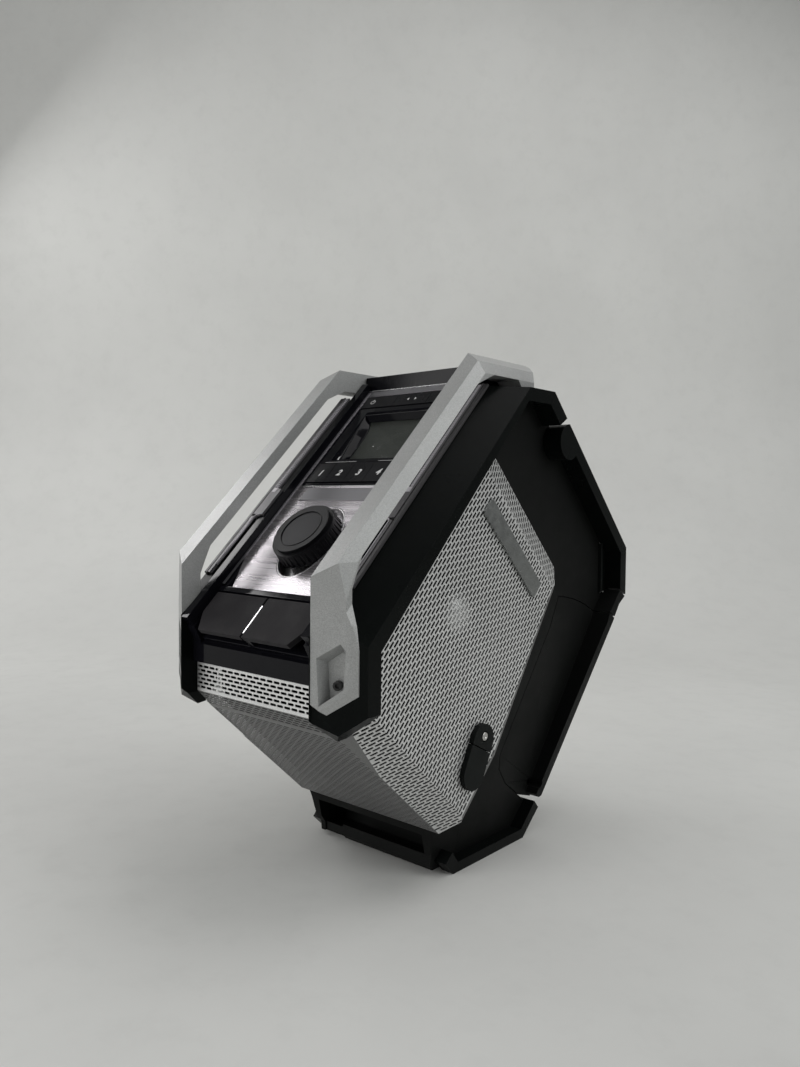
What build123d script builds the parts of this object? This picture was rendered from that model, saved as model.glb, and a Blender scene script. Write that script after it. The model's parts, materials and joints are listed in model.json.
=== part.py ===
"""Jobsite radio: octagonal body, roll bars, sloping console, side grilles, folding handle.

Frame: +X is the radio's right side, -Y its front, +Z up, origin at the bottom centre.
All lengths are millimetres.  The console slopes at 45 degrees, and places on it are
given as (x, s, n): s runs up the slope and n is the height square to it.
"""
from build123d import *
import math
import os

os.makedirs("parts", exist_ok=True)

ROOT2 = math.sqrt(2)

# ---------------------------------------------------------------- side outline
rim_half_width = 77.0        # outer face of the side frames
foot_half_width = 54.4       # the rim narrows to this at the floor
taper_start = 22.0           # height where the lower rim starts to widen
taper_start_half = 57.0
taper_end = 136.0            # height where the rim is at full width
core_half_width = 64.0       # flat side panel
core_foot_half = 46.0        # side panel width at the floor
frame_top = 284.0            # top of the side frames
frame_band = 8.0             # their height above the side window
frame_flat = 27.5            # length of their flat top
frame_rear_band = 9.0        # width of their rear band
frame_rear_outer = 56.0      # rear end of that band, outer corner
frame_rear_inner = 48.0      # and inner corner
ridge_level = 191.3          # crease of the side frames, square to the slope
rim_back = 139.5             # rearmost face
upper_back_sum = 2 * frame_top - ridge_level * ROOT2 + frame_flat   # upper back slope: y + z
foot_front = -26.0           # floor contact, front end
foot_rear = 47.0             # floor contact, rear end
foot_nose_y = -34.8          # front chamfer of the foot
foot_nose_z = 8.7
foot_tail_y = 62.0           # rear chamfer of the foot
foot_tail_z = 16.6
foot_band = 6.5
foot_end_band = 5.5          # band at the two ends of the foot

# ---------------------------------------------------------------- sloping front
nose_y = -138.6              # face of the nose
frame_nose_side_y = -123.4   # where the nose chamfer meets the outer face
frame_nose_step = 1.2        # frame set back behind the roll bar's nose plate
console_level = 198.7        # console deck, square to the slope
window_level = 182.5         # edge of the side window
core_level = 180.0           # front of the side shells
rail_rise = 6.3              # black rails beside the console
rail_inner = 46.6
console_half_width = 52.0
trim_outer = 61.0            # outer edge of the trim rail
frame_shoulder = 204.5       # frame height where the trim rail lies
trim_rise = 2.0
trim_inner = 52.6
trim_groove = 57.2           # narrow groove along the trim rail
trim_groove_width = 0.7
trim_low = 40.0
trim_top_gap = 3.0           # from its upper end to the underside of the bar's top end

# ---------------------------------------------------------------- shells
wall = 3.0
core_bottom = 3.0
core_top = frame_top - 3.0
core_front = -105.0
core_front_low = 98.0        # lower end of that face
core_back = 125.5
core_back_low = 150.0
core_slope_sum = upper_back_sum - 4.0   # upper back of the shells: y + z
under_core_sum = -7.0        # lower front of the shells: y + z
base_front = -14.5           # wall behind the base recess
base_shelf = 31.0            # underside of the grille shelf
shell_tail_y = 56.0

# ---------------------------------------------------------------- lower back
cover_foot_y = 63.4          # lower end of the lower back line
cover_foot_z = 21.8
cover_slope = math.radians(62.5)
cover_length = 131.0
cover_depth = 55.0
cover_skin = 4.0
cover_gap = 0.5
cover_axis_u = 8.0
cover_axis_w = 8.0
knuckle_inner = 20.0
knuckle_outer = 30.7
lug_outer = 39.0
hinge_pin_radius = 2.5
hinge_sweep = 12.2           # room for the cover's lower edge as it turns
cover_band = 7.5             # width of the cover's rim bars
corner_gap = 0.6             # from the cover's swing to the fixed rim corner

# ---------------------------------------------------------------- grilles
grille_plane = 70.0
grille_sheet = 1.2
grille_flange = 4.2          # sloping flange along the rear edges
grille_flange_drop = 1.8     # how far it falls towards the panel
grille_fall_sum = 237.0      # lower edge of the upper rear facet: y + z
grille_fall_y = 62.0         # its rear corner
grille_seat_gap = 0.1        # from that edge to the side panel
window_front = -114.2
window_front_low = 112.5
window_upper_sum = 215.5     # fold of the upper rear facet: y + z
grille_rear_y = 56.0
grille_kink_y = -5.8
grille_kink_z = 68.6
grille_low_y = -36.2
grille_low_z = 38.8
under_half_width = 57.0
under_low_y = -43.5
under_low_z = 29.6
under_top_y = -118.0
under_top_z = 97.5
strip_y = -128.0
strip_low = 108.0
strip_top = 125.0

# ---------------------------------------------------------------- roll bars
bar_inner = 52.7
bar_face_outer = 64.6        # outer edge of the sloping face
bar_side_outer = 68.1        # outer side of the bar
bar_side_level = 218.4
bar_shoulder_level = 196.0   # height of the plate's outer side where the frame takes over
bar_plate_edge = 70.0        # outer edge of the nose plate's front face
bar_plate_outer = 73.0       # outer side of the bevel beside it
bar_nose_rise = 0.563        # how far the front face runs back per unit of width
bar_bevel_depth = 2.5        # the bevel, front to back
bar_foot_bevel = 4.0         # height of the bevel along the plate's lower edge
bar_plate_back = -121.0
bar_plate_top = 146.0
bar_corner_fill = 9.0
bar_rear_foot = 14.0         # front end of the foot under the rear end
bar_under = 218.3
bar_outer = 225.0
bar_lift = 5.0               # from the frame's top to the underside of the top end
bar_head = 13.5              # height of the top end
bar_top_under = frame_top + bar_lift
bar_top = bar_top_under + bar_head
bar_crease_drop = 6.4        # the top end's crease below its inner edge
bar_rear = 44.0
bar_rear_outer = 31.0        # rear end at the outer side
bar_foot = 113.6
bar_nose_y = -138.1
bar_nose_depth = 12.6
bar_point_across = 6.5       # lowest point of the nose plate, from its inner edge
bar_foot_rise = 10.6         # from there up to its outer edge
pocket_depth = 7.0
bar_screw_radius = 2.4
bar_screw_height = 2.2
bar_screw_across = 12.2      # screw place on the nose plate, from its inner edge
bar_screw_up = 13.6          # and from its foot
bar_facet_low = 159.5        # lower end of the facet between run and plate

# ---------------------------------------------------------------- console pieces
plate_sheet = 1.2
plate_low = 36.0
plate_low_half = 36.4
plate_shoulder = 62.0
plate_high = 210.5
plate_half = 46.3
deck = 3.0
bezel_half = 42.5
bezel_low = 118.5
bezel_high = 203.0
bezel_rise = 2.3
preset_count = 5
preset_pitch = 16.1
preset_low = 120.5
preset_length = 16.5
top_count = 3
top_pitch = 27.6
top_low = 190.7
top_length = 11.0
button_gap = 0.3
button_rise = 2.8
button_cap = 5.2
button_stem_radius = 3.0
window_half = 33.0
window_low = 139.5
window_high = 187.0
lens_sink = 3.0
lens_sheet = 1.5
lcd_thickness = 5.0
board_sheet = 1.6
board_half = 45.0
board_low = 48.0
board_high = 206.0
board_drop = 12.0            # from the deck face down to the board's top
button_travel = 1.0
flange_reach = 1.2
flange_sheet = 1.4
running_gap = 0.03
switch_height = 2.4
knob_s = 73.6
knob_radius = 20.5
knob_face_radius = 17.6
knob_height = 12.0           # knob face above the deck
knob_foot = 1.7              # knob skirt above the deck
knob_hub_radius = 14.0
cap_radius = 12.6
cap_sheet = 1.0
shaft_radius = 3.0
bush_radius = 4.6
dish_half_length = 27.0
dish_half_width = 19.0
dish_depth = 4.5
rib_count = 36
rib_radius = 0.9

# ---------------------------------------------------------------- port doors
door_low = 4.8
door_axis_s = 30.2
door_sheet = 3.2
door_split = 1.6
door_half = 43.6
door_corner_x = 7.0          # chamfer of the outer lower corners
door_corner_s = 12.0
door_gap = 0.35
strip_high = 35.7
door_rise = 2.2
port_floor = 10.0            # recess depth below the deck

# ---------------------------------------------------------------- handle
handle_axis_y = 59.5
handle_axis_depth = 11.0     # axis below the upper back slope: share of y + z
handle_axis_z = upper_back_sum - handle_axis_depth - handle_axis_y
handle_hub_radius = 11.2
handle_band = 8.0            # width of the arms seen from the side
handle_end_rise = 4.4        # the arms' lower ends rise towards the front
handle_boss_radius = 6.5
handle_boss_depth = 11.0
handle_gap = 0.4
handle_pin_radius = 3.5
grip_low = 152.6
grip_depth = 13.0
grip_overlap = 0.5           # how far it runs into each arm
recess_half = 46.0
recess_depth = 26.0
recess_high = 200.0

# ---------------------------------------------------------------- loudspeakers
speaker_y = -12.0
speaker_z = 150.0
speaker_radius = 44.0
speaker_depth = 36.0
speaker_seat = 4.6            # depth of the seat behind the side panel
magnet_radius = 24.0
magnet_height = 16.0
dust_cap_radius = 12.0
woofer_n = 95.0              # place of the woofer along the lower front
woofer_radius = 40.0
woofer_depth = 40.0
baffle_sheet = 3.0

# ---------------------------------------------------------------- inlet cover
inlet_y = -28.0
inlet_z = 73.0
inlet_length = 38.0
inlet_width = 19.0
inlet_rise = 3.2
inlet_gap = 0.3
inlet_screw_along = 12.0
inlet_screw_radius = 2.6
inlet_split = 5.0            # split line above the centre
jack_radius = 6.0
jack_bore = 2.9

# ---------------------------------------------------------------- battery
pack_half = 37.5
pack_low = 17.5
pack_high = 116.0
pack_outer = 6.0
pack_inner = 47.0
terminal_half = 26.0

badge_length = 74.0
badge_width = 11.5
badge_inset = 20.5           # its middle below the grille's upper rear fold: share of y + z
badge_sheet = 1.6


# ================================================================ helpers
def slope_point(s, n):
    """(y, z) of the place s up the console slope and n square to it."""
    return ((s - n) / ROOT2, (s + n) / ROOT2)


def slope_plane(n):
    """Sketch plane on the console slope: local x is X, local y is s."""
    y, z = slope_point(0, n)
    return Plane(origin=(0, y, z), x_dir=(1, 0, 0), z_dir=(0, -1, 1))


def cross_plane():
    """Sketch plane square to the console slope: local x is X, local y is n."""
    return Plane(origin=(0, 0, 0), x_dir=(1, 0, 0), z_dir=(0, -1, -1))


def back_point(u, w):
    """(y, z) of the place u up the lower back line and w inside it."""
    y = cover_foot_y + u * math.cos(cover_slope) - w * math.sin(cover_slope)
    z = cover_foot_z + u * math.sin(cover_slope) + w * math.cos(cover_slope)
    return (y, z)


def prism(points, x_from, x_to):
    """Side outline (y, z) extruded along X."""
    outline = make_face(Plane.YZ.offset(x_from) * Polyline(*points, close=True))
    return extrude(outline, amount=x_to - x_from, dir=(1, 0, 0))


def flat_prism(sketch, x_from, x_to):
    """Sketch in (y, z) extruded along X."""
    return extrude(Plane.YZ.offset(x_from) * sketch, amount=x_to - x_from, dir=(1, 0, 0))


def polygon(points):
    return make_face(Polyline(*points, close=True))


def slope_block(x_from, x_to, s_from, s_to, n_from, n_to):
    """Box lined up with the console slope."""
    middle = Pos((x_from + x_to) / 2, (s_from + s_to) / 2)
    sketch = middle * Rectangle(x_to - x_from, s_to - s_from)
    return slope_extrude(sketch, n_from, n_to)


def slope_extrude(sketch, n_from, n_to):
    return extrude(slope_plane(n_from) * sketch, amount=n_to - n_from, dir=(0, -1, 1))


def round_bar(radius, x_from, x_to, y, z):
    """Cylinder along X."""
    return extrude(Plane.YZ.offset(x_from) * (Pos(y, z) * Circle(radius)), amount=x_to - x_from, dir=(1, 0, 0))


def envelope(stations, reach=400.0):
    """Solid whose half width follows (half width, z) stations."""
    right = [(half, z) for half, z in stations]
    left = [(-half, z) for half, z in reversed(stations)]
    face = make_face(Plane.XZ.offset(-reach / 2) * Polyline(*(right + left), close=True))
    return extrude(face, amount=reach, dir=(0, -1, 0))


def core_half_at(z, inset=0.0):
    """Half width of the side panel at height z."""
    slope = (core_half_width - core_foot_half) / taper_end
    return min(core_half_width, core_foot_half + slope * z) - inset


def core_envelope(inset=0.0):
    low = (core_half_at(-10.0, inset), -10.0)
    knee = (core_half_width - inset, taper_end)
    return envelope([low, knee, (core_half_width - inset, 340.0)])


def rim_envelope():
    stations = [
        (foot_half_width, -1.0),
        (foot_half_width, 0.0),
        (taper_start_half, taper_start),
        (rim_half_width, taper_end),
        (rim_half_width, 340.0),
    ]
    return envelope(stations)


def other_side(part):
    return mirror(part, about=Plane.YZ)


def save(name, part):
    export_step(part, "parts/" + name + ".step")


# ================================================================ outlines
def cover_outline():
    """Battery cover seen from the side, (u, w) turned into (y, z)."""
    reach = cover_length - cover_axis_u
    rise = cover_depth - cover_axis_w
    steps = 5
    heights = [rise * index / steps for index in range(steps + 1)]
    arc = [(cover_axis_u + math.sqrt(reach ** 2 - height ** 2), cover_axis_w + height) for height in heights]
    places = [(0.0, 0.0), (cover_length, 0.0)] + arc + [
        (cover_axis_u + 6.0, cover_depth),
        (cover_axis_u - 2.0, cover_depth - 5.0),
        (cover_axis_u - 8.0, cover_depth - 19.0),
        (cover_axis_u - 10.5, cover_axis_w + 7.0),
    ]
    return [back_point(u, w) for u, w in places]


def core_sketch():
    """Side outline of the shells without the battery bay."""
    tail = back_point(1.0, 1.0)
    slant_foot_y = core_front
    slant_foot_z = core_level * ROOT2 + core_front
    points = [
        (base_front, core_bottom),
        (foot_rear - 2.0, core_bottom),
        (shell_tail_y, foot_tail_z - 2.0),
        tail,
        back_point(cover_length + 12.0, 1.0),
        (core_back, core_back_low + 7.0),
        (core_back, core_slope_sum - core_back),
        (core_slope_sum - core_top, core_top),
        (core_top - core_level * ROOT2, core_top),
        (slant_foot_y, slant_foot_z),
        (core_front, core_front_low),
        (under_core_sum - base_shelf, base_shelf),
        (base_front, base_shelf),
    ]
    bay = offset(polygon(cover_outline()), amount=cover_gap)
    sweep = Pos(*back_point(cover_axis_u, cover_axis_w)) * Circle(hinge_sweep)
    return polygon(points) - bay - sweep


# ================================================================ shells
def make_shell():
    """Right half of the body: side panel and half of the perimeter walls."""
    sketch = core_sketch()
    block = flat_prism(sketch, 0.0, core_half_width)
    block = block & core_envelope()
    inner = offset(sketch, amount=-wall, kind=Kind.INTERSECTION)
    cavity = flat_prism(inner, -1.0, core_half_width)
    slope_open = slope_block(-1.0, core_half_width, 36.0, 212.0, core_level - 12.0, core_level + 5.0)
    nose_open = Pos(0, core_front, (core_front_low + 150.0) / 2) * Box(200, 12, 44)
    under_open = under_slab(-12.0, 6.0, 46.0, 134.0, core_half_width)
    hollow = (cavity + slope_open + nose_open + under_open) & core_envelope(wall)
    shell = block - hollow
    shell += (speaker_ring() + handle_boss()) & block
    shell += cover_knuckle()
    hole = round_bar(speaker_radius - 4.0, 40.0, core_half_width + 1.0, speaker_y, speaker_z)
    shell -= hole
    shell -= round_bar(handle_pin_radius + running_gap, 40.0, core_half_width + 1.0, handle_axis_y, handle_axis_z)
    shell -= round_bar(hinge_pin_radius + running_gap, 0.0, 60.0, *back_point(cover_axis_u, cover_axis_w))
    shell -= round_bar(jack_radius + 0.2, 40.0, core_half_width + 1.0, *inlet_place(-6.0))
    shell -= recess_block(0.3)
    return shell + rim_corner()


def rim_corner():
    """Fixed corner of the rim between the handle's arm and the cover's rim bar."""
    low = cover_length + corner_gap
    low_outer = back_point(low, 0.0)
    low_inner = back_point(low, cover_band)
    top_outer = (rim_back - 1.0, grip_low - 1.2)
    top_inner = (rim_back - handle_band - 0.4, grip_low + handle_end_rise - 1.2)
    waist = (low_outer[0] + 6.2, low_outer[1] + 7.9)
    corner = prism([low_outer, waist, top_outer, top_inner, low_inner], core_half_width - 1.0, rim_half_width + 5.0)
    grip_room = offset(polygon(grip_outline()), amount=2 * handle_gap)
    grip_end = core_half_width + handle_gap + grip_overlap
    return (corner & rim_envelope()) - flat_prism(grip_room, 0.0, grip_end + handle_gap)


def speaker_ring():
    """Seat inside the side panel that the side speaker is screwed to."""
    seat = core_half_width - wall - speaker_seat
    ring = round_bar(speaker_radius, seat, core_half_width - wall + 0.5, speaker_y, speaker_z)
    return ring - round_bar(speaker_radius - 4.0, seat - 1.0, core_half_width, speaker_y, speaker_z)


def handle_boss():
    start = core_half_width - wall - handle_boss_depth
    return round_bar(handle_boss_radius, start, core_half_width - wall + 0.5, handle_axis_y, handle_axis_z)


def cover_knuckle():
    """Fixed hinge knuckle of the battery cover, on a web from the bay's lower wall."""
    u = cover_axis_u
    w = cover_axis_w
    radius = cover_axis_w - 1.5
    web = prism([
        back_point(u - radius, w),
        back_point(u - 14.0, w + 4.0),
        back_point(u - 12.5, w + 17.0),
        back_point(u, w + radius),
    ], knuckle_inner, knuckle_outer)
    return web + round_bar(radius, knuckle_inner, knuckle_outer, *back_point(u, w))


def under_slab(s_from, s_to, n_from, n_to, half):
    """Block lined up with the lower front, between two heights s and two places n."""
    return slope_block(-half, half, s_from, s_to, n_from, n_to)


def recess_block(clear=0.0):
    """Space of the hand recess tray behind the grip."""
    low = core_back_low + 6.0 - clear
    high = recess_high + clear
    front = core_back - recess_depth - clear
    size_y = 60.0
    middle_y = front + size_y / 2
    half = recess_half + clear
    return Pos(0, middle_y, (low + high) / 2) * Box(2 * half, size_y, high - low)


def make_recess_tray():
    """Tray that lines the hand recess."""
    outer = recess_block()
    inner = recess_block(-wall)
    sketch = polygon([
        (0.0, core_back_low),
        (core_back, core_back_low),
        (core_back, core_slope_sum - core_back),
        (core_slope_sum - core_top, core_top),
        (0.0, core_top),
    ])
    limit = flat_prism(sketch, -recess_half, recess_half)
    return (outer - inner) & limit


# ================================================================ side frames
def make_front_frame():
    """Right black frame: nose, sloping shoulder and top band around the side window."""
    slope_low = 20.0
    shoulder_low = slope_point(slope_low, frame_shoulder)
    window_low_point = slope_point((window_front * 2 + window_level * ROOT2) / ROOT2, window_level)
    band_inner_z = frame_top - frame_band
    band_inner_y = band_inner_z - (window_level + 4.0) * ROOT2
    rear_sum = upper_back_sum - frame_rear_band * ROOT2
    outline = [
        (nose_y, bar_foot - 3.0),
        (nose_y, 152.0),
        shoulder_low,
        slope_point(213.0, frame_shoulder),
        (upper_back_sum - frame_top, frame_top),
        (frame_rear_outer, upper_back_sum - frame_rear_outer),
        (frame_rear_inner, rear_sum - frame_rear_inner),
        (rear_sum - band_inner_z, band_inner_z),
        (band_inner_y, band_inner_z),
        (window_low_point[0], window_low_point[1]),
        (window_front, window_front_low),
        (under_top_y - 1.0, under_top_z + 2.0),
        (-124.0, 98.7),
    ]
    top_cap = [
        (-60.0, 150.0),
        (60.0, 150.0),
        (60.0, frame_top),
        (-60.0, frame_top),
    ]
    block = prism(outline, console_half_width + 0.3, rim_half_width)
    above = Pos(0, 0, frame_top + 50.0) * Box(400, 600, 100)
    block -= above
    inside = prism(top_cap, 0.0, core_half_width)
    upper_core = inside & slope_block(-100, 100, -100, 400, 0, core_level)
    block -= upper_core
    back_cut = Pos(core_half_width / 2, 60.0, 240.0) * Box(core_half_width, 110.0, 200.0)
    block -= back_cut & slope_block(-100, 100, -100, 400, 0, core_level + 8.0)
    # glossy chamfer from the crease up to the trim rail
    tip = [
        (rim_half_width + 0.01, ridge_level),
        (trim_outer, frame_shoulder + 0.01),
        (trim_outer, frame_shoulder + 40.0),
        (rim_half_width + 40.0, ridge_level),
    ]
    cutter = extrude(cross_plane() * polygon(tip), amount=260.0, both=True)
    block -= cutter
    # chamfer of the nose
    nose_tip = [
        (rim_half_width + 0.01, frame_nose_side_y),
        (bar_plate_outer, nose_face_y(bar_plate_edge) + bar_bevel_depth + frame_nose_step / 2),
        (bar_plate_edge, nose_face_y(bar_plate_edge) + frame_nose_step),
        (bar_inner, bar_nose_y + frame_nose_step),
        (bar_inner, nose_y - 10.0),
        (rim_half_width + 30.0, nose_y - 10.0),
        (rim_half_width + 30.0, frame_nose_side_y),
    ]
    block -= extrude(Plane.XY.offset(80.0) * polygon(nose_tip), amount=140.0)
    # slanted lower tip
    low_tip = Plane.XZ.offset(180.0)
    tip_points = [
        (rim_half_width + 0.01, window_front_low + 1.0),
        (57.4, 98.7),
        (console_half_width, 98.7 + 9.0),
        (console_half_width, 60.0),
        (rim_half_width + 40.0, 60.0),
    ]
    block -= extrude(low_tip * polygon(tip_points), amount=-120.0)
    return block


def foot_bumper():
    """Right foot: rim piece that the radio stands on."""
    outline = [
        (foot_nose_y, foot_nose_z),
        (foot_front, 0.0),
        (foot_rear, 0.0),
        (foot_tail_y, foot_tail_z),
        (foot_tail_y - foot_end_band, foot_tail_z + foot_end_band),
        (foot_rear - foot_band / 2, foot_band),
        (foot_front + foot_band / 2, foot_band),
        (foot_nose_y + foot_end_band, foot_nose_z + foot_end_band),
    ]
    block = prism(outline, 20.0, 90.0) & rim_envelope()
    return block - core_envelope()


def base_tray():
    """Front of the base: grille shelf, recess and lip."""
    profile = [
        (under_low_y + 0.5, under_low_z - 0.4),
        (under_low_y + 2.0, under_low_z - 5.0),
        (base_front - wall, under_low_z - 5.0),
        (base_front - wall, core_bottom + wall),
        (-34.0, core_bottom + wall),
        (-35.0, 11.5),
        (-38.5, 12.5),
        (-38.5, 6.0),
        (-36.0, core_bottom),
        (base_front - 0.1, core_bottom),
        (base_front - 0.1, base_shelf - 0.2),
        (under_low_y + 4.0, base_shelf - 0.2),
    ]
    block = prism(profile, -60.0, 60.0) & core_envelope()
    notch = Pos(-37.0, -37.5, 7.0) * Box(26.0, 6.0, 14.0)
    block -= notch
    end_profile = [
        (under_low_y + 1.0, under_low_z - 1.0),
        (-39.0, 13.2),
        (-35.6, 8.6),
        (-35.6, core_bottom),
        (base_front - 0.1, core_bottom),
        (base_front - 0.1, base_shelf - 0.2),
    ]
    inner_half = core_half_at(0.0) - wall
    end_wall = prism(end_profile, inner_half, 60.0) & core_envelope()
    return block + end_wall + other_side(end_wall)


# ================================================================ grilles
def grille_outline():
    """Side grille seen from the side, folded edges included."""
    window_sum = window_level * ROOT2
    upper_y = (grille_fall_sum - window_sum) / 2
    return [
        (under_top_y, under_top_z),
        (window_front, window_front_low),
        (window_front, window_front + window_sum),
        (upper_y, upper_y + window_sum),
        (grille_fall_y, grille_fall_sum - grille_fall_y),
        (grille_rear_y, window_upper_sum - grille_rear_y),
        (grille_kink_y, grille_kink_z),
        (grille_low_y, grille_low_z),
        (under_low_y, under_low_z),
    ]


def outside_of(first, second, third, inset=0.0):
    """Everything on the outer (+X) side of the plane through three points."""
    first, second, third = Vector(*first), Vector(*second), Vector(*third)
    outward = (second - first).cross(third - first).normalized()
    outward = outward if outward.X > 0 else -outward
    plane = Plane(origin=first - outward * inset, x_dir=second - first, z_dir=outward)
    return extrude(plane * Rectangle(500.0, 500.0), amount=80.0)


def facet_cutter(inset=0.0):
    """Everything outside the chamfer facet between the side and the lower front."""
    front = (grille_plane, window_front, window_front_low)
    rear = (grille_plane, grille_low_y, grille_low_z)
    low = (under_half_width, under_low_y, under_low_z)
    return outside_of(front, rear, low, inset)


def fall_cutter(inset=0.0):
    """Everything outside the upper rear facet, which falls to the side panel."""
    fold_y = (window_upper_sum - window_level * ROOT2) / 2
    upper = (grille_plane, fold_y, window_upper_sum - fold_y)
    rear = (grille_plane, grille_rear_y, window_upper_sum - grille_rear_y)
    low_x = core_half_width + grille_sheet + grille_seat_gap
    low = (low_x, grille_fall_y, grille_fall_sum - grille_fall_y)
    return outside_of(upper, rear, low, inset)


def flange_cutter(inset=0.0):
    """Everything outside the sloping flanges along the grille's rear edges."""
    cutter = []
    places = [
        (grille_rear_y, window_upper_sum - grille_rear_y),
        (grille_kink_y, grille_kink_z),
        (grille_low_y, grille_low_z),
    ]
    for (upper_y, upper_z), (lower_y, lower_z) in zip(places, places[1:]):
        span = math.hypot(upper_y - lower_y, upper_z - lower_z)
        across_y = -(upper_z - lower_z) / span * grille_flange
        across_z = (upper_y - lower_y) / span * grille_flange
        edge = grille_plane - grille_flange_drop
        cutter.append(outside_of(
            (edge, upper_y, upper_z),
            (edge, lower_y, lower_z),
            (grille_plane, upper_y + across_y, upper_z + across_z),
            inset,
        ))
    return cutter


def make_side_grille():
    """Right side grille: main face, chamfer facets, flanges and folded edge."""
    outline = polygon(grille_outline())
    outer = flat_prism(outline, 40.0, grille_plane) - facet_cutter() - fall_cutter() - flange_cutter()
    inner_sketch = offset(outline, amount=-grille_sheet)
    inner = flat_prism(inner_sketch, 30.0, grille_plane - grille_sheet)
    inner = inner - facet_cutter(grille_sheet) - fall_cutter(grille_sheet) - flange_cutter(grille_sheet)
    sheet = outer - inner
    sheet -= core_envelope()
    sheet -= round_bar(jack_radius + 0.3, 50.0, grille_plane + 1.0, *inlet_place(-6.0))
    return keep_largest(sheet - make_front_grille())


def keep_largest(part):
    solids = part.solids()
    if len(solids) == 1:
        return part
    return sorted(solids, key=lambda solid: solid.volume)[-1]


def make_front_grille():
    """Strip below the ports and the lower front face."""
    face = [
        (strip_y, strip_top),
        (strip_y, strip_low),
        (under_top_y, under_top_z),
        (under_low_y, under_low_z),
    ]
    inner = [
        (under_low_y + 0.9, under_low_z + 0.9),
        (under_top_y + 0.9, under_top_z + 0.9),
        (strip_y + grille_sheet, strip_low + 0.6),
        (strip_y + grille_sheet, strip_top),
    ]
    sheet = prism(face + inner, -grille_plane, grille_plane)
    facet = facet_cutter(grille_sheet)
    sheet -= facet
    sheet -= other_side(facet)
    side = Pos(0, -150.0, 150.0) * Box(300, 70.0, 100.0)
    strip_zone = Pos(0, strip_y, 120.0) * Box(2 * console_half_width, 30.0, 60.0)
    return keep_largest(sheet - (side - strip_zone))


# ================================================================ roll bars
def bar_profile():
    """Side outline of the roll bar, with the inner corners filled."""
    nose_in = bar_nose_y + bar_nose_depth
    nose_low = bar_under * ROOT2 + nose_in
    top_out = (bar_top - bar_outer * ROOT2, bar_top)
    top_in_y = bar_top_under - bar_under * ROOT2
    fill = bar_corner_fill
    return [
        (bar_rear, bar_top),
        top_out,
        (bar_nose_y, bar_nose_y + bar_outer * ROOT2),
        (bar_nose_y, bar_foot),
        (nose_in, bar_foot),
        (nose_in, nose_low - fill),
        (nose_in + fill * 0.28, nose_low - fill * 0.32),
        (nose_in + fill * 0.75, nose_low + fill * 0.75),
        (top_in_y - fill * 0.75, bar_top_under - fill * 0.75),
        (top_in_y + fill * 0.32, bar_top_under - fill * 0.28),
        (top_in_y + fill, bar_top_under),
        (bar_rear_foot, bar_top_under),
        (bar_rear_foot + 4.0, frame_top + 0.1),
        (upper_back_sum - frame_top - 0.5, frame_top + 0.1),
        (bar_rear + 3.0, bar_top - 6.0),
    ]


def make_roll_bar():
    """Right roll bar: top end, sloping run and nose plate."""
    bar = prism(bar_profile(), bar_inner, bar_plate_outer)
    plate = Pos((bar_inner + bar_plate_outer) / 2, (bar_nose_y + bar_plate_back) / 2, (bar_foot + bar_plate_top) / 2)
    bar += plate * Box(bar_plate_outer - bar_inner, bar_plate_back - bar_nose_y, bar_plate_top - bar_foot)
    bar -= bar_side_cutter() + nose_cutter() + foot_cutter() + top_end_cutter() + rear_end_cutter()
    return bar - screw_pocket()


def nose_face_y(x):
    """Front of the nose plate at a given place across it."""
    return bar_nose_y + bar_nose_rise * (x - bar_inner)


def nose_face_plane(outward=0.0):
    """Sketch plane on the nose plate's front face: local x across it, local y up."""
    lean = math.atan(bar_nose_rise)
    across = (math.cos(lean), math.sin(lean), 0)
    out = (math.sin(lean), -math.cos(lean), 0)
    origin = Vector(bar_inner, bar_nose_y, bar_foot) + Vector(*out) * outward
    return Plane(origin=origin, x_dir=across, z_dir=out)


def bar_side_trim(places):
    """Everything outside a line of (x, n) places, along the whole slope."""
    far = bar_plate_outer + 20.0
    above = bar_outer + 12.0
    edge = places + [(far, places[-1][1]), (far, above), (places[0][0], above)]
    return extrude(cross_plane() * polygon(edge), amount=400.0, both=True)


def bar_side_cutter():
    """Trims the outer side of the bar: two facets on the run, a twisted one beside the nose."""
    run_trim = bar_side_trim([
        (bar_face_outer, bar_outer + 0.01),
        (bar_side_outer, bar_side_level),
        (bar_side_outer, bar_under - 60.0),
    ])
    nose_trim = bar_side_trim([
        (bar_side_outer, bar_shoulder_level + 11.0),
        (bar_plate_outer + 0.01, bar_shoulder_level),
    ])
    kink_y = nose_face_y(bar_face_outer)
    kink = (bar_face_outer, kink_y, bar_outer * ROOT2 + kink_y)
    nose_zone = Pos(0, bar_plate_back - 40.0, kink[2] - 50.0) * Box(300, 80.0, 100.0)
    plate_corner = (bar_plate_edge, nose_face_y(bar_plate_edge), bar_facet_low)
    run_end = (bar_side_outer, bar_plate_back, bar_side_level * ROOT2 + bar_plate_back)
    twisted = outside_of(kink, plate_corner, run_end)
    return (run_trim - nose_zone) + (nose_trim & nose_zone) + (twisted & nose_zone)


def top_end_cutter():
    """Turns the top end's face outwards and bevels its outer side."""
    above = bar_top + 20.0
    edge = [
        (bar_inner - 1.0, bar_top + 0.5),
        (bar_face_outer, bar_top - bar_crease_drop),
        (bar_side_outer + 0.01, bar_top_under),
        (bar_plate_outer + 20.0, bar_top_under),
        (bar_plate_outer + 20.0, above),
        (bar_inner - 1.0, above),
    ]
    return extrude(Plane.XZ.offset(-60.0) * polygon(edge), amount=120.0)


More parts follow.
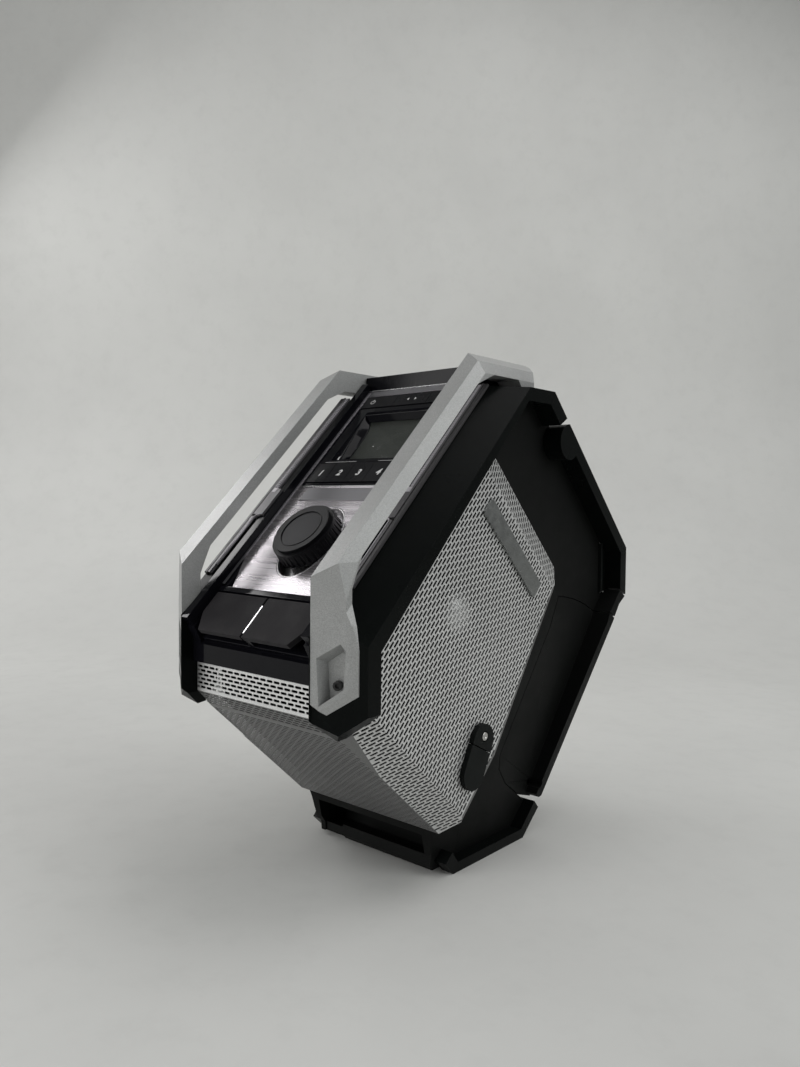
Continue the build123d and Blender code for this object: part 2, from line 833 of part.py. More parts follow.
def rear_end_cutter():
    """Slants the rear end of the top end towards the outer side."""
    edge = [
        (bar_inner, bar_rear + 4.0),
        (bar_side_outer, bar_rear_outer),
        (bar_plate_outer + 20.0, bar_rear_outer),
        (bar_plate_outer + 20.0, bar_rear + 40.0),
        (bar_inner, bar_rear + 40.0),
    ]
    return extrude(Plane.XY.offset(frame_top - 10.0) * polygon(edge), amount=60.0)


def nose_cutter():
    """Turns the nose face outwards and bevels its outer edge."""
    edge = [
        (bar_inner, bar_nose_y),
        (bar_plate_edge, nose_face_y(bar_plate_edge)),
        (bar_plate_outer + 0.01, nose_face_y(bar_plate_edge) + bar_bevel_depth),
        (bar_plate_outer + 0.01, bar_nose_y - 20.0),
        (bar_inner, bar_nose_y - 20.0),
    ]
    return extrude(Plane.XY.offset(bar_foot - 20.0) * polygon(edge), amount=250.0)


def foot_cutter():
    """Pointed lower end of the nose plate, with a shallow bevel along it."""
    point_x = bar_inner + bar_point_across
    end_x = bar_plate_outer + 1.0
    end_z = bar_foot + bar_foot_rise
    low = [
        (bar_inner - 1.0, bar_foot + 5.9),
        (point_x, bar_foot),
        (end_x, end_z),
        (end_x, bar_foot - 20.0),
        (bar_inner - 1.0, bar_foot - 20.0),
    ]
    point = extrude(Plane.XZ.offset(100.0) * polygon(low), amount=80.0)
    bevel = outside_of(
        (point_x, nose_face_y(point_x), bar_foot + bar_foot_bevel),
        (end_x, nose_face_y(end_x), end_z + bar_foot_bevel),
        (point_x, nose_face_y(point_x) + frame_nose_step - 0.1, bar_foot),
    )
    return point + bevel


def screw_pocket():
    """Faceted recess for the screw at the foot of the right roll bar."""
    mouth = [(4.2, 4.2), (16.6, 13.0), (17.6, 31.5), (15.0, 34.8), (2.9, 27.4)]
    floor = [(8.0, 7.0), (15.6, 10.8), (16.8, 27.5), (14.6, 30.0), (7.0, 24.6)]
    front = nose_face_plane(0.05) * polygon(mouth)
    back = nose_face_plane(-pocket_depth) * polygon(floor)
    return loft([back, front], ruled=True)


def bar_screws():
    """Socket screws in the pockets at the foot of each roll bar."""
    place = Pos(bar_screw_across, bar_screw_up)
    seat = nose_face_plane(-pocket_depth)
    head = extrude(seat * place * Circle(bar_screw_radius), amount=bar_screw_height)
    socket = extrude(seat.offset(1.0) * place * RegularPolygon(1.3, 6), amount=bar_screw_height)
    screw = head - socket
    return Compound(children=[screw, other_side(screw)])


def trim_rail():
    """Rail along the shoulder of the right frame, with a narrow groove."""
    top = frame_shoulder + trim_rise
    high = (bar_top_under - trim_top_gap) * ROOT2 - top
    rail = slope_block(trim_inner, trim_outer - 0.4, trim_low, high, frame_shoulder, top)
    groove_end = trim_groove + trim_groove_width
    return rail - slope_block(trim_groove, groove_end, trim_low - 1.0, high + 1.0, top - 1.0, top + 1.0)


# ================================================================ console
def make_console_housing():
    """Console deck, rails, hood and nose block between the frames."""
    half = console_half_width
    foot_s = 7.5
    deck_low = slope_point(foot_s, console_level)
    deck_high = slope_point(plate_high + 0.6, console_level)
    outline = [
        (-131.0, strip_top + 0.3),
        (-131.0, 138.0),
        deck_low,
        deck_high,
        (9.5, 300.0),
        (24.0, 300.0),
        (39.0, 285.0),
        (39.0, core_top + 0.2),
        (core_top - core_level * ROOT2, core_top + 0.2),
        (core_front - 0.2, core_level * ROOT2 + core_front + 0.1),
        (core_front - 0.2, strip_top + 0.3),
    ]
    block = prism(outline, -half, half)
    cavity_low = core_level - 5.0
    block -= slope_block(-half + wall, half - wall, 40.0, 208.0, cavity_low, console_level - deck)
    rail = slope_block(rail_inner, half, foot_s + 1.0, plate_high + 2.0, console_level, console_level + rail_rise)
    block += rail
    block += other_side(rail)
    for x in (-board_half + 4.0, board_half - 4.0):
        for s in (board_low + 4.0, window_high - 5.0):
            boss = Pos(x, s) * Circle(3.0)
            block += slope_extrude(boss, console_level - board_drop, console_level - deck)
    for x_middle, width, s_from, length in button_slots():
        low = s_from - button_gap
        high = s_from + length + button_gap
        block -= slope_block(x_middle - width / 2, x_middle + width / 2, low, high, cavity_low, console_level + 1.0)
    block -= slope_block(-window_half, window_half, window_low, window_high, cavity_low, console_level + 1.0)
    block -= slope_extrude(Pos(0, knob_s) * Ellipse(dish_half_width + 0.1, dish_half_length + 0.1), cavity_low, console_level + 1.0)
    port = port_floor + 0.1
    block -= slope_block(-door_half - 1.2, door_half + 1.2, foot_s - 7.5, strip_high + 0.1, console_level - port, console_level + 8.0)
    return block


def button_slots():
    """Middle x, width, lower end and length of the two button rows."""
    presets = preset_count * preset_pitch + 2 * button_gap
    tops = top_count * top_pitch + 2 * button_gap
    return [(0.0, presets, preset_low, preset_length), (0.0, tops, top_low, top_length)]


def make_plate():
    """Brushed console plate with windows for the bezel and the knob dish."""
    corners = [
        (-plate_low_half, plate_low),
        (plate_low_half, plate_low),
        (plate_half, plate_shoulder),
        (plate_half, plate_high),
        (-plate_half, plate_high),
        (-plate_half, plate_shoulder),
    ]
    sheet = slope_extrude(polygon(corners), console_level, console_level + plate_sheet)
    gap = 0.1
    window = slope_block(-bezel_half - gap, bezel_half + gap, bezel_low - gap, bezel_high + gap, console_level - 1, console_level + 9)
    dish = slope_extrude(Pos(0, knob_s) * Ellipse(dish_half_width + gap, dish_half_length + gap), console_level - 1, console_level + 9)
    return sheet - window - dish


def make_dish():
    """Oval finger dish around the knob."""
    outer = slope_extrude(Pos(0, knob_s) * Ellipse(dish_half_width, dish_half_length), console_level - dish_depth - 1.2, console_level + plate_sheet)
    inner = slope_extrude(Pos(0, knob_s) * Ellipse(dish_half_width - 1.2, dish_half_length - 1.2), console_level - dish_depth, console_level + 9)
    bore = slope_extrude(Pos(0, knob_s) * Circle(bush_radius + 0.1), console_level - 20, console_level + 9)
    return outer - inner - bore


def make_bezel():
    """Gloss bezel around the display and both button rows."""
    sheet = slope_block(-bezel_half, bezel_half, bezel_low, bezel_high, console_level, console_level + bezel_rise)
    for x_middle, width, s_from, length in button_slots():
        low = s_from - button_gap
        high = s_from + length + button_gap
        sheet -= slope_block(x_middle - width / 2, x_middle + width / 2, low, high, console_level - 1, console_level + 9)
    sheet -= slope_block(-window_half + 1, window_half - 1, window_low + 1, window_high - 1, console_level - 1, console_level + 9)
    return sheet


def display_stack():
    """Lens and display module below the bezel window."""
    top = console_level - 0.1
    gap = 0.2
    lens = slope_block(-window_half + gap, window_half - gap, window_low + gap, window_high - gap, top - lens_sheet, top)
    low = console_level - board_drop
    module = slope_block(-window_half + 2, window_half - 2, window_low + 2, window_high - 2, low, top - lens_sheet - gap)
    return lens, module


def make_button(x_middle, pitch, s_from, length):
    """Push button cap with its stem, resting just above its switch."""
    width = pitch - button_gap
    half = width / 2
    top = console_level + button_rise
    cap = slope_block(x_middle - half, x_middle + half, s_from, s_from + length, top - button_cap, top)
    stem_spot = Pos(x_middle, s_from + length / 2)
    low = console_level - board_drop + switch_height + 0.1
    stem = slope_extrude(stem_spot * Circle(button_stem_radius), low, top - button_cap)
    flange_top = console_level - deck - 0.2
    reach = button_gap + flange_reach
    flange = slope_block(x_middle - half, x_middle + half, s_from - reach, s_from + length + reach, flange_top - flange_sheet, top - button_cap)
    flange -= slope_block(-60.0, 60.0, s_from - reach - 1.0, s_from, flange_top, console_level)
    flange -= slope_block(-60.0, 60.0, s_from + length, s_from + length + reach + 1.0, flange_top, console_level)
    return cap + stem + flange


def button_board():
    """Circuit board under the console with its switches."""
    top = console_level - board_drop
    board = slope_block(-board_half, board_half, board_low, board_high, top - board_sheet, top)
    for x_middle, s_middle in button_spots():
        switch = Pos(x_middle, s_middle) * Rectangle(6.0, 6.0)
        board += slope_extrude(switch, top, top + switch_height - 1.1)
        plunger = Pos(x_middle, s_middle) * Circle(1.5)
        board += slope_extrude(plunger, top, top + switch_height - 1.0)
    return board


def button_spots():
    presets = [(preset_x(index), preset_low + preset_length / 2) for index in range(preset_count)]
    tops = [(top_x(index), top_low + top_length / 2) for index in range(top_count)]
    return presets + tops


def preset_x(index):
    return (index - (preset_count - 1) / 2) * preset_pitch


def top_x(index):
    return (index - (top_count - 1) / 2) * top_pitch


def make_knob():
    """Ribbed tuning knob with a bore for the encoder shaft."""
    spot = Pos(0, knob_s)
    low = console_level + knob_foot
    top = console_level + knob_height
    skirt = extrude(slope_plane(low) * (spot * Circle(knob_radius)), amount=top - low - 2.0, taper=6.0, dir=(0, -1, 1))
    face = slope_extrude(spot * Circle(knob_face_radius), top - 3.0, top)
    hub = slope_extrude(spot * Circle(knob_hub_radius), console_level - dish_depth + 0.4, low + 0.5)
    knob = skirt + face + hub
    turn = 360.0 / rib_count
    groove = slope_extrude(spot * (Pos(knob_radius, 0) * Circle(rib_radius)), low - 1.0, top - 3.0)
    y, z = slope_point(knob_s, low)
    axis = Axis((0, y, z), (0, -1, 1))
    knob -= [groove.rotate(axis, turn * index) for index in range(rib_count)]
    knob -= slope_extrude(spot * Circle(cap_radius + 0.05), top - cap_sheet, top + 1.0)
    knob -= slope_extrude(spot * Circle(shaft_radius + running_gap), console_level - 20, top - 3.5)
    return knob


def knob_cap():
    top = console_level + knob_height
    return slope_extrude(Pos(0, knob_s) * Circle(cap_radius), top - cap_sheet, top - 0.2)


def knob_encoder():
    """Rotary encoder: body on the board and bush for the shaft."""
    spot = Pos(0, knob_s)
    board_top = console_level - board_drop
    body = slope_extrude(spot * Rectangle(14.0, 13.0), board_top, board_top + 4.0)
    bush = slope_extrude(spot * Circle(bush_radius), board_top + 4.0, console_level - dish_depth)
    bore = slope_extrude(spot * Circle(shaft_radius + running_gap), board_top + 1.5, console_level)
    return body + bush - bore


def knob_shaft():
    """Shaft that joins the knob to its encoder."""
    low = console_level - board_drop + 2.0
    return slope_extrude(Pos(0, knob_s) * Circle(shaft_radius), low, console_level + knob_height - 4.0)


# ================================================================ ports
def port_panel():
    """Port recess floor with its rear strip and front lip."""
    floor_n = console_level - port_floor
    half = door_half + 1.0
    panel = slope_block(-half, half, 6.2, strip_high, floor_n, floor_n + 2.0)
    rear = slope_block(-half, half, door_axis_s + 2.1, strip_high, floor_n, console_level + door_rise)
    middle = slope_block(-2.0, 2.0, 6.2, door_axis_s - 4.0, floor_n, console_level - 1.4)
    panel = panel + rear + middle
    panel -= slope_block(-24.0, -10.0, 12.0, 18.0, floor_n - 1, floor_n + 3)
    panel -= slope_extrude(Pos(17.0, 15.0) * Circle(4.2), floor_n - 1, floor_n + 3)
    return panel


def usb_socket():
    floor_n = console_level - port_floor
    body = slope_block(-23.8, -10.2, 12.2, 17.8, floor_n, floor_n + 5.0)
    mouth = slope_block(-23.2, -10.8, 12.8, 17.2, floor_n + 1.0, floor_n + 6.0)
    tongue = slope_block(-22.0, -12.0, 13.2, 15.0, floor_n + 1.0, floor_n + 4.5)
    return body - mouth + tongue


def aux_socket():
    floor_n = console_level - port_floor
    spot = Pos(17.0, 15.0)
    body = slope_extrude(spot * Circle(4.0), floor_n, floor_n + 4.0)
    return body - slope_extrude(spot * Circle(1.8), floor_n + 1.0, floor_n + 5.0)


def make_door(x_from, x_to):
    """Rubber port door with its hinge roll along the upper edge."""
    top = console_level + door_rise
    low_n = top - door_sheet
    slab = slope_block(x_from, x_to, door_low, door_axis_s, low_n, top)
    roll_plane = slope_point(door_axis_s, top - door_sheet / 2)
    roll = round_bar(door_sheet / 2, x_from, x_to, *roll_plane)
    outer = x_to if x_to > 0 else x_from
    inward = -1 if x_to > 0 else 1
    corner = [
        (outer - inward * 1.0, door_low - 1.0),
        (outer + inward * door_corner_x, door_low - 1.0),
        (outer + inward * door_corner_x, door_low),
        (outer, door_low + door_corner_s),
        (outer - inward * 1.0, door_low + door_corner_s),
    ]
    cut = slope_extrude(polygon(corner), low_n - 1, top + 1)
    return slab + roll - cut


# ================================================================ inlet
def inlet_place(along, across=0.0):
    """(y, z) of a place on the inlet cover, measured up its long axis."""
    y = inlet_y + along * math.cos(cover_slope) - across * math.sin(cover_slope)
    z = inlet_z + along * math.sin(cover_slope) + across * math.cos(cover_slope)
    return (y, z)


def inlet_sketch():
    turn = Rot(0, 0, math.degrees(cover_slope))
    return Pos(inlet_y, inlet_z) * turn * SlotOverall(inlet_length, inlet_width)


def inlet_half(upper):
    """Upper (fixed) or lower (hinged) half of the oval inlet cover."""
    slab = flat_prism(inlet_sketch(), grille_plane + 0.1, grille_plane + inlet_rise)
    half_zone = inlet_length + inlet_width
    side = half_zone / 2 if upper else -half_zone / 2
    gap = inlet_gap if upper else -inlet_gap
    y, z = inlet_place(inlet_split + gap + side)
    turn = Rot(0, 0, math.degrees(cover_slope))
    zone = Pos(y, z) * turn * Rectangle(half_zone, half_zone)
    return slab & flat_prism(zone, grille_plane - 1, grille_plane + 9)


def inlet_cover():
    """Fixed half of the inlet cover with its sunk screw."""
    spot = inlet_place(inlet_screw_along)
    top = grille_plane + inlet_rise
    plate = inlet_half(True) - round_bar(inlet_screw_radius + 0.5, top - 1.2, top + 1.0, *spot)
    head = round_bar(inlet_screw_radius, top - 1.4, top - 0.2, *spot)
    slot = round_bar(inlet_screw_radius * 0.45, top - 0.8, top + 1.0, *spot)
    return plate + head - slot


def dc_jack():
    y, z = inlet_place(-6.0)
    body = round_bar(jack_radius, 46.0, grille_plane, y, z)
    bore = round_bar(jack_bore, 58.0, grille_plane + 1.0, y, z)
    pin = round_bar(0.9, 57.0, grille_plane - 2.0, y, z)
    return body - bore + pin


# ================================================================ loudspeakers
def cone_ring(plane, profile):
    """Solid of revolution about the plane's normal from (radius, height) points."""
    face = make_face(Plane.XZ * Polyline(*profile, close=True))
    return plane * revolve(face, axis=Axis.Z)


def speaker_frame(plane, radius, depth):
    back = magnet_height
    profile = [
        (0.0, -depth),
        (magnet_radius, -depth),
        (magnet_radius, -depth + back),
        (radius * 0.62, -depth + back),
        (radius - 6.0, -5.0),
        (radius, -5.0),
        (radius, -0.2),
        (radius - 3.5, -0.2),
        (radius - 3.5, -2.4),
        (radius - 8.5, -3.4),
        (radius * 0.45, -depth + back + 2.0),
        (0.0, -depth + back + 2.0),
    ]
    return cone_ring(plane, profile)


def speaker_cone(plane, radius, depth):
    low = -depth + magnet_height + 4.0
    profile = [
        (0.0, low + 5.5),
        (dust_cap_radius * 0.7, low + 4.3),
        (dust_cap_radius, low + 1.8),
        (radius - 9.0, -1.6),
        (radius - 6.5, -0.5),
        (radius - 3.8, -1.2),
        (radius - 3.8, -2.2),
        (radius - 6.5, -1.4),
        (radius - 9.0, -2.6),
        (dust_cap_radius, low),
        (0.0, low),
    ]
    return cone_ring(plane, profile)


def right_speaker_plane():
    seat = core_half_width - wall - speaker_seat
    return Plane(origin=(seat, speaker_y, speaker_z), x_dir=(0, 1, 0), z_dir=(1, 0, 0))


def woofer_plane():
    s = under_core_sum / ROOT2 + baffle_sheet
    y, z = slope_point(s, woofer_n)
    return Plane(origin=(0, y, z), x_dir=(1, 0, 0), z_dir=(0, -1, -1))


def make_baffle():
    """Lower front baffle with the woofer opening."""
    s = under_core_sum / ROOT2
    half = core_half_at(60.0, wall) - 0.5
    board = under_slab(s, s + baffle_sheet, 52.0, 133.0, half) & core_envelope(wall + 0.4)
    hole = extrude(woofer_plane() * Circle(woofer_radius - 4.0), amount=20.0, both=True)
    return board - hole


# ================================================================ battery bay
def battery_pack():
    corners = [
        back_point(pack_low, pack_outer),
        back_point(pack_high, pack_outer),
        back_point(pack_high, pack_inner - 8.0),
        back_point(pack_high - 14.0, pack_inner),
        back_point(pack_low + 10.0, pack_inner),
        back_point(pack_low, pack_inner - 10.0),
    ]
    return prism(corners, -pack_half, pack_half)


def battery_terminal():
    corners = [
        back_point(pack_low + 14.0, pack_inner + 0.2),
        back_point(pack_high - 18.0, pack_inner + 0.2),
        back_point(pack_high - 18.0, cover_depth + cover_gap),
        back_point(pack_low + 14.0, cover_depth + cover_gap),
    ]
    return prism(corners, -terminal_half, terminal_half)


def main_board():
    """Amplifier board on the inner side of the bay wall."""
    face = cover_depth + cover_gap + wall + 0.1
    board = prism([
        back_point(26.0, face),
        back_point(108.0, face),
        back_point(108.0, face + board_sheet),
        back_point(26.0, face + board_sheet),
    ], -40.0, 40.0)
    sink = prism([
        back_point(40.0, face + board_sheet),
        back_point(70.0, face + board_sheet),
        back_point(70.0, face + board_sheet + 12.0),
        back_point(40.0, face + board_sheet + 12.0),
    ], -18.0, 18.0)
    return board + sink


def make_cover():
    """Battery cover: back skin, side cheeks and rim bars, with hinge knuckles."""
    outline = polygon(cover_outline())
    full = flat_prism(outline, -90.0, 90.0) & core_envelope()
    room = flat_prism(outline, -90.0, 90.0) & core_envelope(wall)
    shift_y = -math.sin(cover_slope) * cover_skin
    shift_z = math.cos(cover_slope) * cover_skin
    room = Pos(0, shift_y, shift_z) * room
    inner_block = slope_free_room()
    cover = full - (room & inner_block)
    bars = cover_bar()
    cover = cover + bars + other_side(bars)
    axis = back_point(cover_axis_u, cover_axis_w)
    for side in (-1, 1):
        lug = round_bar(cover_axis_w - 1.0, knuckle_outer + 0.6, lug_outer, *axis)
        web = prism([
            back_point(cover_axis_u - 5.0, 1.0),
            back_point(cover_axis_u + 9.0, 1.0),
            back_point(cover_axis_u + 5.0, cover_axis_w),
            back_point(cover_axis_u - 5.0, cover_axis_w),
        ], knuckle_outer + 0.6, lug_outer)
        knuckle = lug + web
        cover += knuckle if side > 0 else other_side(knuckle)
    gap_zone = prism([
        back_point(-4.0, -1.0),
        back_point(cover_axis_u + 10.0, -1.0),
        back_point(cover_axis_u + 10.0, cover_axis_w + 10.0),
        back_point(-4.0, cover_axis_w + 10.0),
    ], -31.0, 31.0)
    cover -= gap_zone
    cover -= round_bar(hinge_pin_radius + running_gap, -100.0, 100.0, *axis)
    cover -= latch_room()
    return cover


def slope_free_room():
    """Room inside the cover, open towards the battery bay."""
    return prism([
        back_point(cover_skin, cover_skin),
        back_point(cover_length - cover_skin, cover_skin),
        back_point(cover_length + 40.0, cover_depth + 60.0),
        back_point(-60.0, cover_depth + 60.0),
        back_point(-20.0, cover_depth - 10.0),
        back_point(-4.0, cover_skin),
    ], -90.0, 90.0)


def cover_bar():
    """Right rim bar of the battery cover."""
    points = [
        back_point(2.2, 0.0),
        back_point(cover_length - 0.5, 0.0),
        back_point(cover_length - 0.5, cover_band),
        back_point(1.5, cover_band),
        back_point(0.5, 2.5),
    ]
    return (prism(points, 20.0, 90.0) & rim_envelope()) - core_envelope()


def latch_room(clear=0.0):
    """Pocket for the latch paddle in the cover's back skin."""
    return prism([
        back_point(cover_length - 24.0 + clear, -2.0),
        back_point(cover_length + 1.0, -2.0),
        back_point(cover_length + 1.0, cover_skin + 3.0),
        back_point(cover_length - 24.0 + clear, cover_skin + 3.0),
    ], -15.0 + clear, 15.0 - clear)


def make_latch():
    """Latch paddle of the battery cover."""
    clear = 0.4
    length_from = cover_length - 24.0 + clear + 2.2
    points = [
        back_point(length_from, 0.2),
        back_point(cover_length - 1.0, 0.2),
        back_point(cover_length - 1.0, 3.2),
        back_point(length_from, 3.2),
    ]
    half = 15.0 - clear
    paddle = prism(points, -half, half)
    axis = back_point(length_from, 1.7)
    paddle += round_bar(1.5, -half, half, *axis)
    return paddle


def hinge_pin():
    """Pin through the knuckles of the battery cover."""
    return round_bar(hinge_pin_radius, -lug_outer, lug_outer, *back_point(cover_axis_u, cover_axis_w))


def grip_outline():
    """Grip of the carry handle seen from the side."""
    nose_top = upper_back_sum - rim_back
    return [
        (rim_back - grip_depth, grip_low + 3.0),
        (rim_back - 3.0, grip_low),
        (rim_back, grip_low + 4.0),
        (rim_back, nose_top),
        (rim_back - grip_depth, nose_top + 1.0),
    ]


def make_handle():
    """Carry handle: two side arms, hubs and the grip across the back."""
    nose_top = upper_back_sum - rim_back
    band = handle_band
    hub_y = handle_axis_y
    hub_z = handle_axis_z
    outer_lean = handle_axis_depth / 2
    inner_lean = (handle_band - handle_axis_depth / ROOT2) / ROOT2
    arm = [
        (hub_y + outer_lean, hub_z + outer_lean),
        (rim_back, nose_top),
        (rim_back, grip_low),
        (rim_back - band, grip_low + handle_end_rise),
        (rim_back - band, nose_top - band * 0.42),
        (hub_y - inner_lean, hub_z - inner_lean),
    ]
    inner = core_half_width + handle_gap
    hub = round_bar(handle_hub_radius, inner, rim_half_width, hub_y, hub_z)
    back_limit = prism([
        (hub_y - 60.0, upper_back_sum - hub_y + 60.0),
        (hub_y + 60.0, upper_back_sum - hub_y - 60.0),
        (hub_y - 60.0, upper_back_sum - hub_y - 60.0),
    ], inner - 1.0, rim_half_width + 1.0)
    side = prism(arm, inner, rim_half_width) + (hub & back_limit)
    side -= round_bar(handle_pin_radius + running_gap, inner - 1, rim_half_width - 3.0, hub_y, hub_z)
    grip = prism(grip_outline(), -inner - grip_overlap, inner + grip_overlap)
    return side + other_side(side) + grip


def handle_pivots():
    """Pivot pins of the handle, fixed in the shells."""
    start = core_half_width - wall - handle_boss_depth
    pin = round_bar(handle_pin_radius, start, rim_half_width - 3.5, handle_axis_y, handle_axis_z)
    return Compound(children=[pin, other_side(pin)])


# ================================================================ badges, screws
def badge_plate():
    """Bare badge plate on the right grille."""
    middle_sum = window_upper_sum - badge_inset
    y = (middle_sum - (window_level - 54.0) * ROOT2) / 2
    z = middle_sum - y
    turn = Rot(0, 0, -45.0)
    sketch = Pos(y, z) * turn * RectangleRounded(badge_length, badge_width, 1.5)
    return flat_prism(sketch, grille_plane + 0.05, grille_plane + badge_sheet)


def housing_screws():
    """Screws that hold the shells together, in the left side panel."""
    spots = [(88.0, 208.0), (20.0, 262.0), (108.0, 180.0), (68.0, 167.0)]
    heads = []
    for y, z in spots:
        face = core_half_at(z)
        heads.append(round_bar(3.6, -face - 1.6, -face, y, z))
    return Compound(children=heads)


# ================================================================ write the parts
def main():
    shell = make_shell()
    save("right_shell", shell)
    save("left_shell", other_side(shell))
    save("handle_recess", make_recess_tray())
    save("base_tray", base_tray())
    foot = foot_bumper()
    save("right_foot_bumper", foot)
    save("left_foot_bumper", other_side(foot))
    bar = make_roll_bar()
    save("right_roll_bar", bar)
    save("left_roll_bar", other_side(bar))
    save("roll_bar_screws", bar_screws())
    rail = trim_rail()
    save("right_trim_rail", rail)
    save("left_trim_rail", other_side(rail))
    frame = make_front_frame() - bar - rail - screw_pocket()
    save("right_front_frame", frame)
    save("left_front_frame", other_side(frame))
    side_grille = make_side_grille()
    save("right_side_grille", side_grille)
    save("left_side_grille", other_side(side_grille))
    neighbours = frame
    save("front_grille", keep_largest(make_front_grille() - neighbours - other_side(neighbours)))
    save("console_housing", make_console_housing())
    save("brushed_plate", make_plate())
    save("knob_dish", make_dish())
    save("display_bezel", make_bezel())
    lens, module = display_stack()
    save("display_lens", lens)
    save("lcd_module", module)
    save("button_board", button_board())
    for index in range(preset_count):
        save("preset_button_" + str(index + 1), make_button(preset_x(index), preset_pitch, preset_low, preset_length))
    for index in range(top_count):
        save("top_button_" + str(index + 1), make_button(top_x(index), top_pitch, top_low, top_length))
    save("tuning_knob", make_knob())
    save("knob_cap", knob_cap())
    save("knob_shaft", knob_shaft())
    save("knob_encoder", knob_encoder())
    save("port_panel", port_panel())
    save("usb_socket", usb_socket())
    save("aux_socket", aux_socket())
    save("usb_door", make_door(-door_half, -door_split / 2))
    save("aux_door", make_door(door_split / 2, door_half))
    save("dc_cover_plate", inlet_cover())
    save("dc_flap", inlet_half(False))
    save("dc_jack", dc_jack())
    right_plane = right_speaker_plane()
    frame_part = speaker_frame(right_plane, speaker_radius, speaker_depth)
    cone_part = speaker_cone(right_plane, speaker_radius, speaker_depth)
    save("right_speaker_frame", frame_part)
    save("left_speaker_frame", other_side(frame_part))
    save("right_speaker_cone", cone_part)
    save("left_speaker_cone", other_side(cone_part))
    save("speaker_baffle", make_baffle())
    save("woofer_frame", speaker_frame(woofer_plane(), woofer_radius, woofer_depth))
    save("woofer_cone", speaker_cone(woofer_plane(), woofer_radius, woofer_depth))
    save("battery_pack", battery_pack())
    save("battery_terminal", battery_terminal())
    save("main_board", main_board())
    save("battery_cover", make_cover())
    save("cover_latch", make_latch())
    save("carry_handle", make_handle())
    save("handle_pivots", handle_pivots())
    save("hinge_pin", hinge_pin())
    badge = badge_plate()
    save("badge_plates", Compound(children=[badge, other_side(badge)]))
    save("housing_screws", housing_screws())


main()
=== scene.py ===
"""Finishes a jobsite radio: paint, moulded plastic, perforated sheet, numerals and a plain studio.

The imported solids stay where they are.  This add-on softens their edges, gives every piece its
finish and builds the fine pieces: the perforated grilles, the display well, the button numerals,
the trim strips and the small bright parts of the console.

Places and levels are in millimetres, and edge radii and the sizes in the sidebar are in metres.
"""
import json
import math
from functools import partial

import bmesh
import bpy
from mathutils import Matrix, Vector, geometry

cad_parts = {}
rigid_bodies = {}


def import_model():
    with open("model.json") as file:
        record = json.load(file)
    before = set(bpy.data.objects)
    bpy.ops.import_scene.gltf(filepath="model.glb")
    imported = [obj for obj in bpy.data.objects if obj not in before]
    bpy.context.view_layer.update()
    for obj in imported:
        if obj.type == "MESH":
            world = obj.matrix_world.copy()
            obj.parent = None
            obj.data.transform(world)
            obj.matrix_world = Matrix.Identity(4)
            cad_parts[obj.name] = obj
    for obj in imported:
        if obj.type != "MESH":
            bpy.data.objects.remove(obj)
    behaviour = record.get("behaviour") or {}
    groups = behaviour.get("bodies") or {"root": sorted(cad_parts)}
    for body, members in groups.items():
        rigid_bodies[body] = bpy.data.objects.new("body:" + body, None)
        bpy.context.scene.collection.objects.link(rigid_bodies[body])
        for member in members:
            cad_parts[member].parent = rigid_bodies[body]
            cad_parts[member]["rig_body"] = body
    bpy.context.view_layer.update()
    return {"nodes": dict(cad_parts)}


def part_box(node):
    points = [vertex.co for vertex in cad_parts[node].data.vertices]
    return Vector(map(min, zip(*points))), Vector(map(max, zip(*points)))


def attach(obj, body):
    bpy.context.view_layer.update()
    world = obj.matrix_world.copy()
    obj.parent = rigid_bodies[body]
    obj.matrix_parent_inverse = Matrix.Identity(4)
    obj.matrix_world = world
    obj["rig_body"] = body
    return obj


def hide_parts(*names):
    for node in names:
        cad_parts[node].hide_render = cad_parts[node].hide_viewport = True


bl_info = {
    "name": "Jobsite radio finisher",
    "version": (1, 0, 0),
    "blender": (4, 5, 0),
    "location": "View3D > Sidebar > Radio",
    "description": "Gives a jobsite radio its grilles, controls, finishes and studio",
    "category": "Object",
}

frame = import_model()
NODES = frame["nodes"]

MM = 0.001                   # one millimetre in metres
PER_METRE = 1000             # millimetres in a metre
ROOT2 = math.sqrt(2)
SIDES = (("right", 1), ("left", -1))

# Levels square to the console's slope
DECK = 198.7                 # console deck
PLATE_TOP = 199.9            # brushed plate
BEZEL_TOP = 201.0            # display bezel
BUTTON_TOP = DECK + 2.8      # faces of the buttons
PRINT = 0.05                 # thickness of the printed symbols

# Softened edges of small parts, in metres
HAIR_EDGE = 0.00012
FINE_EDGE = 0.0002
THIN_EDGE = 0.0003
FIRM_EDGE = 0.0004
SOFT_EDGE = 0.0005
COVER_EDGE = 0.0008
RUBBER_EDGE = 0.0009


# ------------------------------------------------------------------ sizes and colours
def length(name, description, default):
    return bpy.props.FloatProperty(
        name=name, description=description, default=default,
        min=0.0, soft_max=0.5, unit="LENGTH", precision=5)


def paint(name, description, default):
    return bpy.props.FloatVectorProperty(
        name=name, description=description, default=default, size=3, min=0.0, max=1.0, subtype="COLOR")


def rotation(name, description, degrees):
    return bpy.props.FloatProperty(
        name=name, description=description, default=math.radians(degrees), unit="ROTATION")


def strength(name, description, default):
    return bpy.props.FloatProperty(name=name, description=description, default=default, min=0.0)


